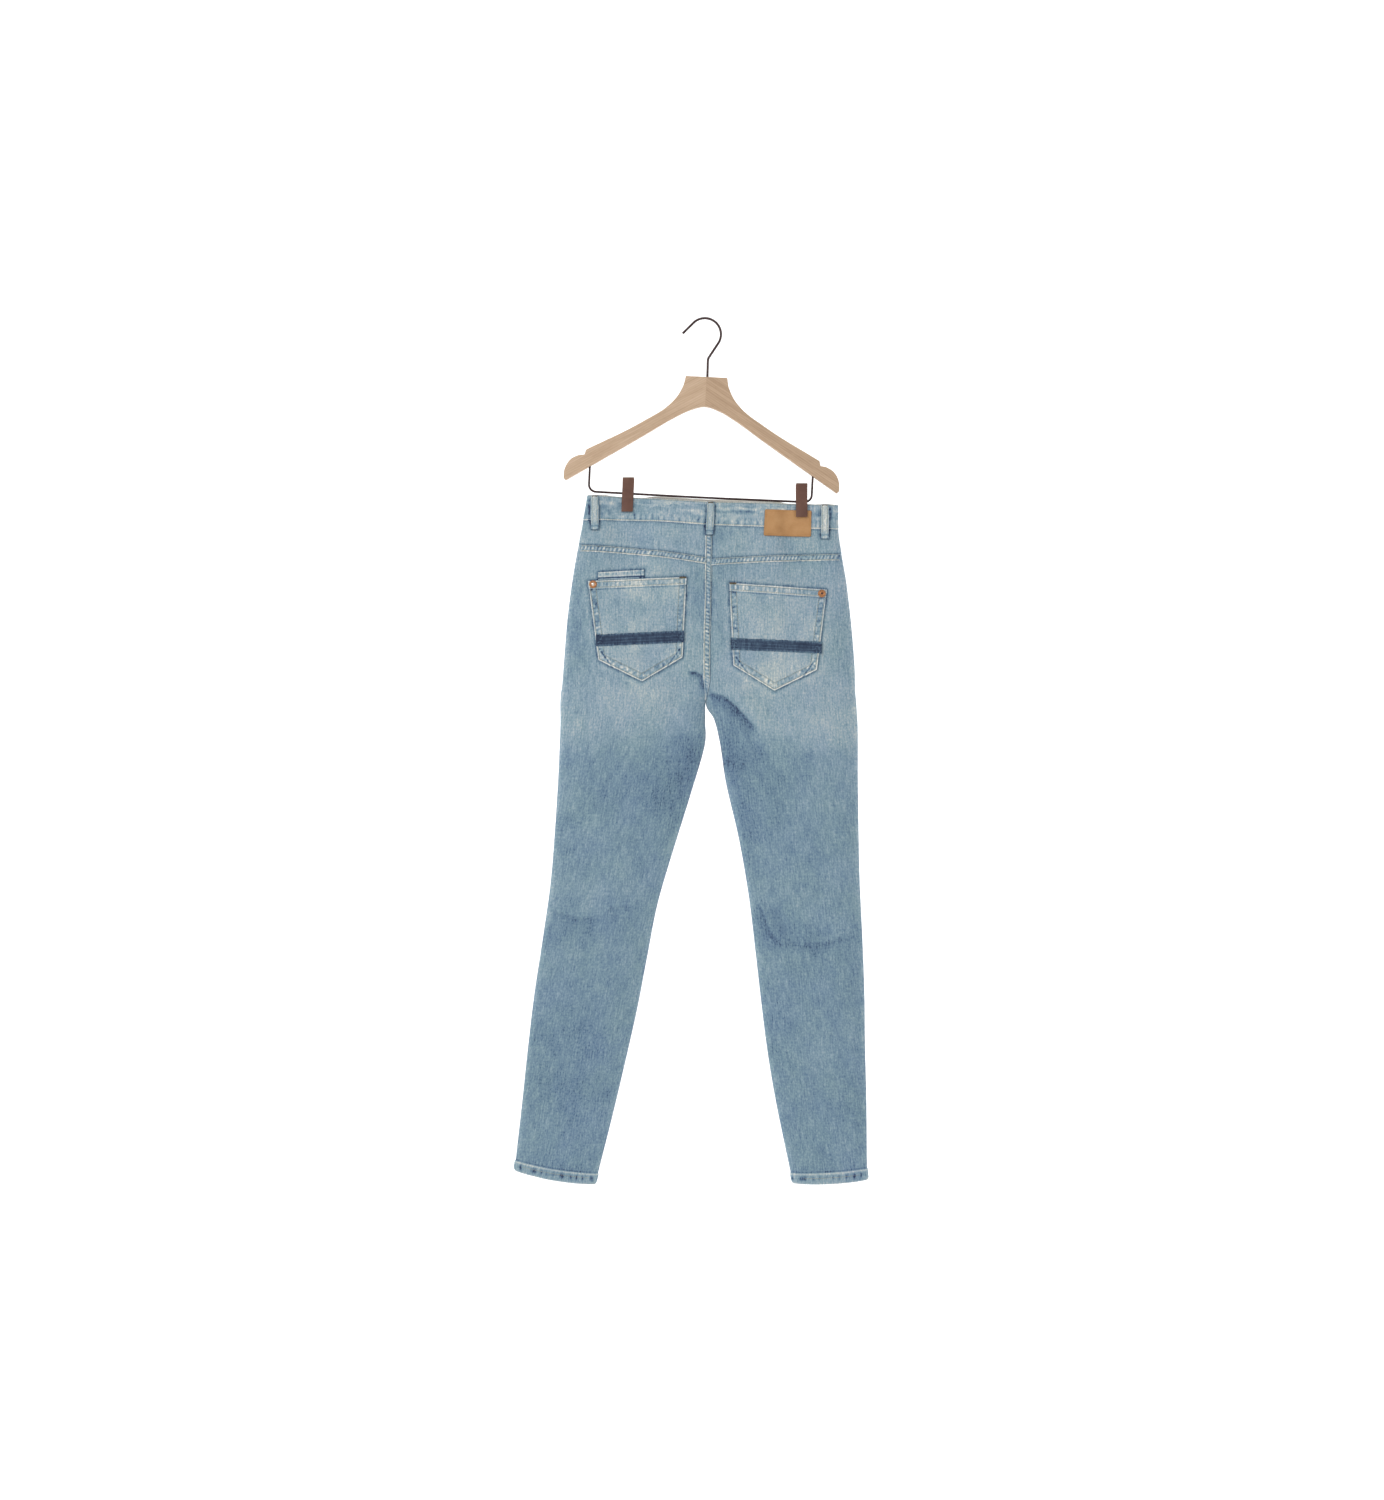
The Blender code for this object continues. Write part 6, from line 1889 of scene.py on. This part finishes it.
def tube(name, route, radius, nodes, sides=20, on_hanger=True, step=1.6):
    """A round bronze wire through x, y and drop points, with rounded ends."""
    route = np.array(route, float)
    t = np.linspace(0, len(route) - 1, 30 * len(route))
    fine = np.stack([spline(route[:, k], t) for k in range(3)], axis=-1)
    run = lengths_along(fine)
    line = read_along(np.linspace(0, run[-1], max(8, round(run[-1] / step))), run, fine)
    direction = np.gradient(line, axis=0)
    direction /= np.linalg.norm(direction, axis=1, keepdims=True)
    normal = np.cross(direction, (0.0, 1.0, 0.0) if abs(direction[0][1]) < 0.9 else (0.0, 0.0, 1.0))
    normal /= np.linalg.norm(normal, axis=1, keepdims=True)
    other = np.cross(direction, normal)
    angles = np.linspace(0, 2 * math.pi, sides, endpoint=False)[None, :, None]
    ring = normal[:, None, :] * np.cos(angles) + other[:, None, :] * np.sin(angles)
    body = line[:, None, :] + ring * radius
    caps = (0.5, 0.8), (0.3, 0.95)
    start = [line[0] - direction[0] * radius * s + ring[0] * radius * c for s, c in caps]
    end = [line[-1] + direction[-1] * radius * s + ring[-1] * radius * c for s, c in reversed(caps)]
    rings = np.concatenate([np.array(start), body, np.array(end)])
    count = len(rings)
    index = np.arange(count * sides).reshape(count, sides)
    nxt = np.roll(index, -1, axis=1)
    faces = np.stack([index[:-1], nxt[:-1], nxt[1:], index[1:]], axis=-1).reshape(-1, 4)
    corners = rings.reshape(-1, 3)
    tips = np.array([line[0] - direction[0] * radius * 0.6, line[-1] + direction[-1] * radius * 0.6])
    corners = np.concatenate([corners, tips])
    first, last = len(corners) - 2, len(corners) - 1
    corners = corners * (1, 1, -1) * MM
    if on_hanger:
        matrix = np.array(hanger_matrix())
        corners = corners @ matrix[:3, :3].T + matrix[:3, 3]
    mesh = bpy.data.meshes.new(name)
    every = faces[:, ::-1].tolist()
    every += [(first, int(index[0][k]), int(nxt[0][k])) for k in range(sides)]
    every += [(last, int(nxt[-1][k]), int(index[-1][k])) for k in range(sides)]
    mesh.from_pydata(corners.tolist(), [], every)
    shape = bmesh.new()
    shape.from_mesh(mesh)
    bmesh.ops.recalc_face_normals(shape, faces=shape.faces)
    shape.to_mesh(mesh)
    shape.free()
    shown(finished(name, mesh, BRONZE), nodes)


def wires():
    centre = (0.0, HOOK_RADIUS - WIRE_RADIUS)
    route = [HOOK_TIP, *arc(centre, HOOK_RADIUS, 132, -32, 22), *HOOK_NECK]
    route = [(x, 0.0, drop) for x, drop in route]
    tube("hook_wire", route, WIRE_RADIUS + 0.25, ["hook"], 24, on_hanger=False)
    corner = (BAR_HALF_SPAN - BAR_CORNER, BAR_DROP - BAR_CORNER)
    right = [(BAR_HALF_SPAN, BAR_TOP), (BAR_HALF_SPAN, BAR_TOP + 20), *arc(corner, BAR_CORNER, 0, -90, 10)]
    right += [(BAR_HALF_SPAN * s, BAR_DROP + BAR_SAG * (1 - s)) for s in (0.8, 0.6, 0.4, 0.2)]
    route = right + [(-x, drop) for x, drop in reversed(right)]
    tube("bar_wire", [(x, 0.0, drop) for x, drop in route], BAR_RADIUS + 0.2, ["trouser_bar"])
    for name, (clip_x, _, _, _) in CLIPS.items():
        x = (clip_x - HANGER_ORIGIN[0] + math.sin(HANGER_TILT) * BAR_DROP) / math.cos(HANGER_TILT)
        drop = BAR_DROP + BAR_SAG * (1 - abs(x) / BAR_HALF_SPAN)
        turns = np.linspace(0, 2 * math.pi * COIL_TURNS, COIL_TURNS * 14)
        xs = x - COIL_LENGTH / 2 + COIL_LENGTH * turns / turns[-1]
        coil = np.stack([xs, COIL_RADIUS * np.cos(turns), drop + COIL_RADIUS * np.sin(turns)], axis=-1)
        tube("clip_coil_" + name, coil, COIL_WIRE_RADIUS, ["clip_spring_" + name], 8, step=0.7)


def clip_plates():
    """The pressed plates of each clip, rounded at their edges."""
    for plate in CLIP_PLATES:
        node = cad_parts[plate.replace("_plate", "")]
        mesh = node.data.copy()
        mesh.name = plate
        mesh.materials.clear()
        shape = bmesh.new()
        shape.from_mesh(mesh)
        rounding = {"offset": CLIP_ROUNDING * MM, "segments": 3, "profile": 0.5}
        bmesh.ops.bevel(shape, geom=sharp_rim(shape), affect="EDGES", **rounding)
        shape.to_mesh(mesh)
        shape.free()
        shown(finished(plate, mesh, CLIP_BROWN, 45), [node.name])


# ------------------------------------------------------------------ studio


# Metres.
CAMERA_PLACE = (-0.0195, -4.0, -0.6547)
CAMERA_LENS, CAMERA_SENSOR = 63.16, 36
FLOOR_FRONT, FLOOR_HEIGHT = -7.0, -1.9
BEND_START, BEND_RADIUS = 3.2, 1.4
WALL_TOP, BACKDROP_HALF_WIDTH = 4.0, 7.0
PAPER_TONES = ((0.3, (250, 250, 250)), (0.7, (252, 252, 252)))
WORLD_STRENGTH = 0.56
# Lamps: the place, the point it is aimed at, its width and height, and its power in watts.
LIGHTS = (
    ("key", (-2.4, -3.0, 1.4), (0, 0, -0.6), (1.3, 1.3), 72),
    ("fill", (2.6, -3.2, 0.2), (0, 0, -0.7), (2.0, 2.4), 20),
    ("backdrop_left", (-3.3, 1.6, 0.6), (-0.3, 4.0, -1.2), (2.4, 3.4), 118),
    ("backdrop_right", (3.3, 1.6, 0.6), (0.3, 4.0, -1.2), (2.4, 3.4), 118),
)


def camera():
    data = bpy.data.cameras.new("camera")
    data.lens = CAMERA_LENS
    data.sensor_width = CAMERA_SENSOR
    obj = linked("camera", data)
    obj.location = CAMERA_PLACE
    obj.rotation_euler = (math.pi / 2, 0, 0)
    bpy.context.scene.camera = obj


def backdrop():
    """White paper that bends up from the floor into a wall."""
    paper = Shader("studio_paper", 0.95)
    where = paper.node("ShaderNodeTexCoord", out="Object")
    paper.colour(paper.ramp(paper.noise(where, (2, 2, 2), centred=False), PAPER_TONES))
    line = [(FLOOR_FRONT, FLOOR_HEIGHT), (BEND_START, FLOOR_HEIGHT)]
    for a in np.linspace(0.1, math.pi / 2, 14):
        line.append((BEND_START + BEND_RADIUS * math.sin(a), FLOOR_HEIGHT + BEND_RADIUS * (1 - math.cos(a))))
    line.append((BEND_START + BEND_RADIUS, WALL_TOP))
    corners = [(x, y, z) for y, z in line for x in (-BACKDROP_HALF_WIDTH, BACKDROP_HALF_WIDTH)]
    faces = [(2 * k, 2 * k + 1, 2 * k + 3, 2 * k + 2) for k in range(len(line) - 1)]
    mesh = bpy.data.meshes.new("backdrop")
    mesh.from_pydata(corners, [], faces)
    finished("backdrop", mesh, paper.material)


def lights():
    for name, place, aim, size, power in LIGHTS:
        lamp = bpy.data.lights.new(name, "AREA")
        lamp.shape = "RECTANGLE"
        lamp.size, lamp.size_y = size
        lamp.energy = power
        obj = linked(name, lamp)
        obj.location = place
        obj.rotation_euler = (Vector(aim) - Vector(place)).to_track_quat("-Z", "Y").to_euler()
    world = bpy.data.worlds.new("studio_light")
    world.use_nodes = True
    light = world.node_tree.nodes["Background"].inputs
    light["Color"].default_value = (1, 1, 1, 1)
    light["Strength"].default_value = WORLD_STRENGTH
    bpy.context.scene.world = world
    bpy.context.scene.view_settings.view_transform = "Standard"


camera()
backdrop()
lights()
back_panels()
front_panels()
pocket_facings()
yokes()
yoke_seams()
felled_seam("centre_back_seam", CENTRE_SEAM, 1.2, 631, lay_back, taper=34.0)
waistband()
back_pockets()
pocket_bands()
ticket_pocket()
waist_patch()
loops = belt_loops()
fly()
pocket_stitches()
seam_stitches()
waist_stitches()
hem_stitches()
front_stitches()
fly_stitches()
loop_stitches(loops)
rivets_and_button()
hanger_half("hanger_wood_left", LEFT, 0.56)
hanger_half("hanger_wood_right", RIGHT, 0.46)
wires()
clip_plates()
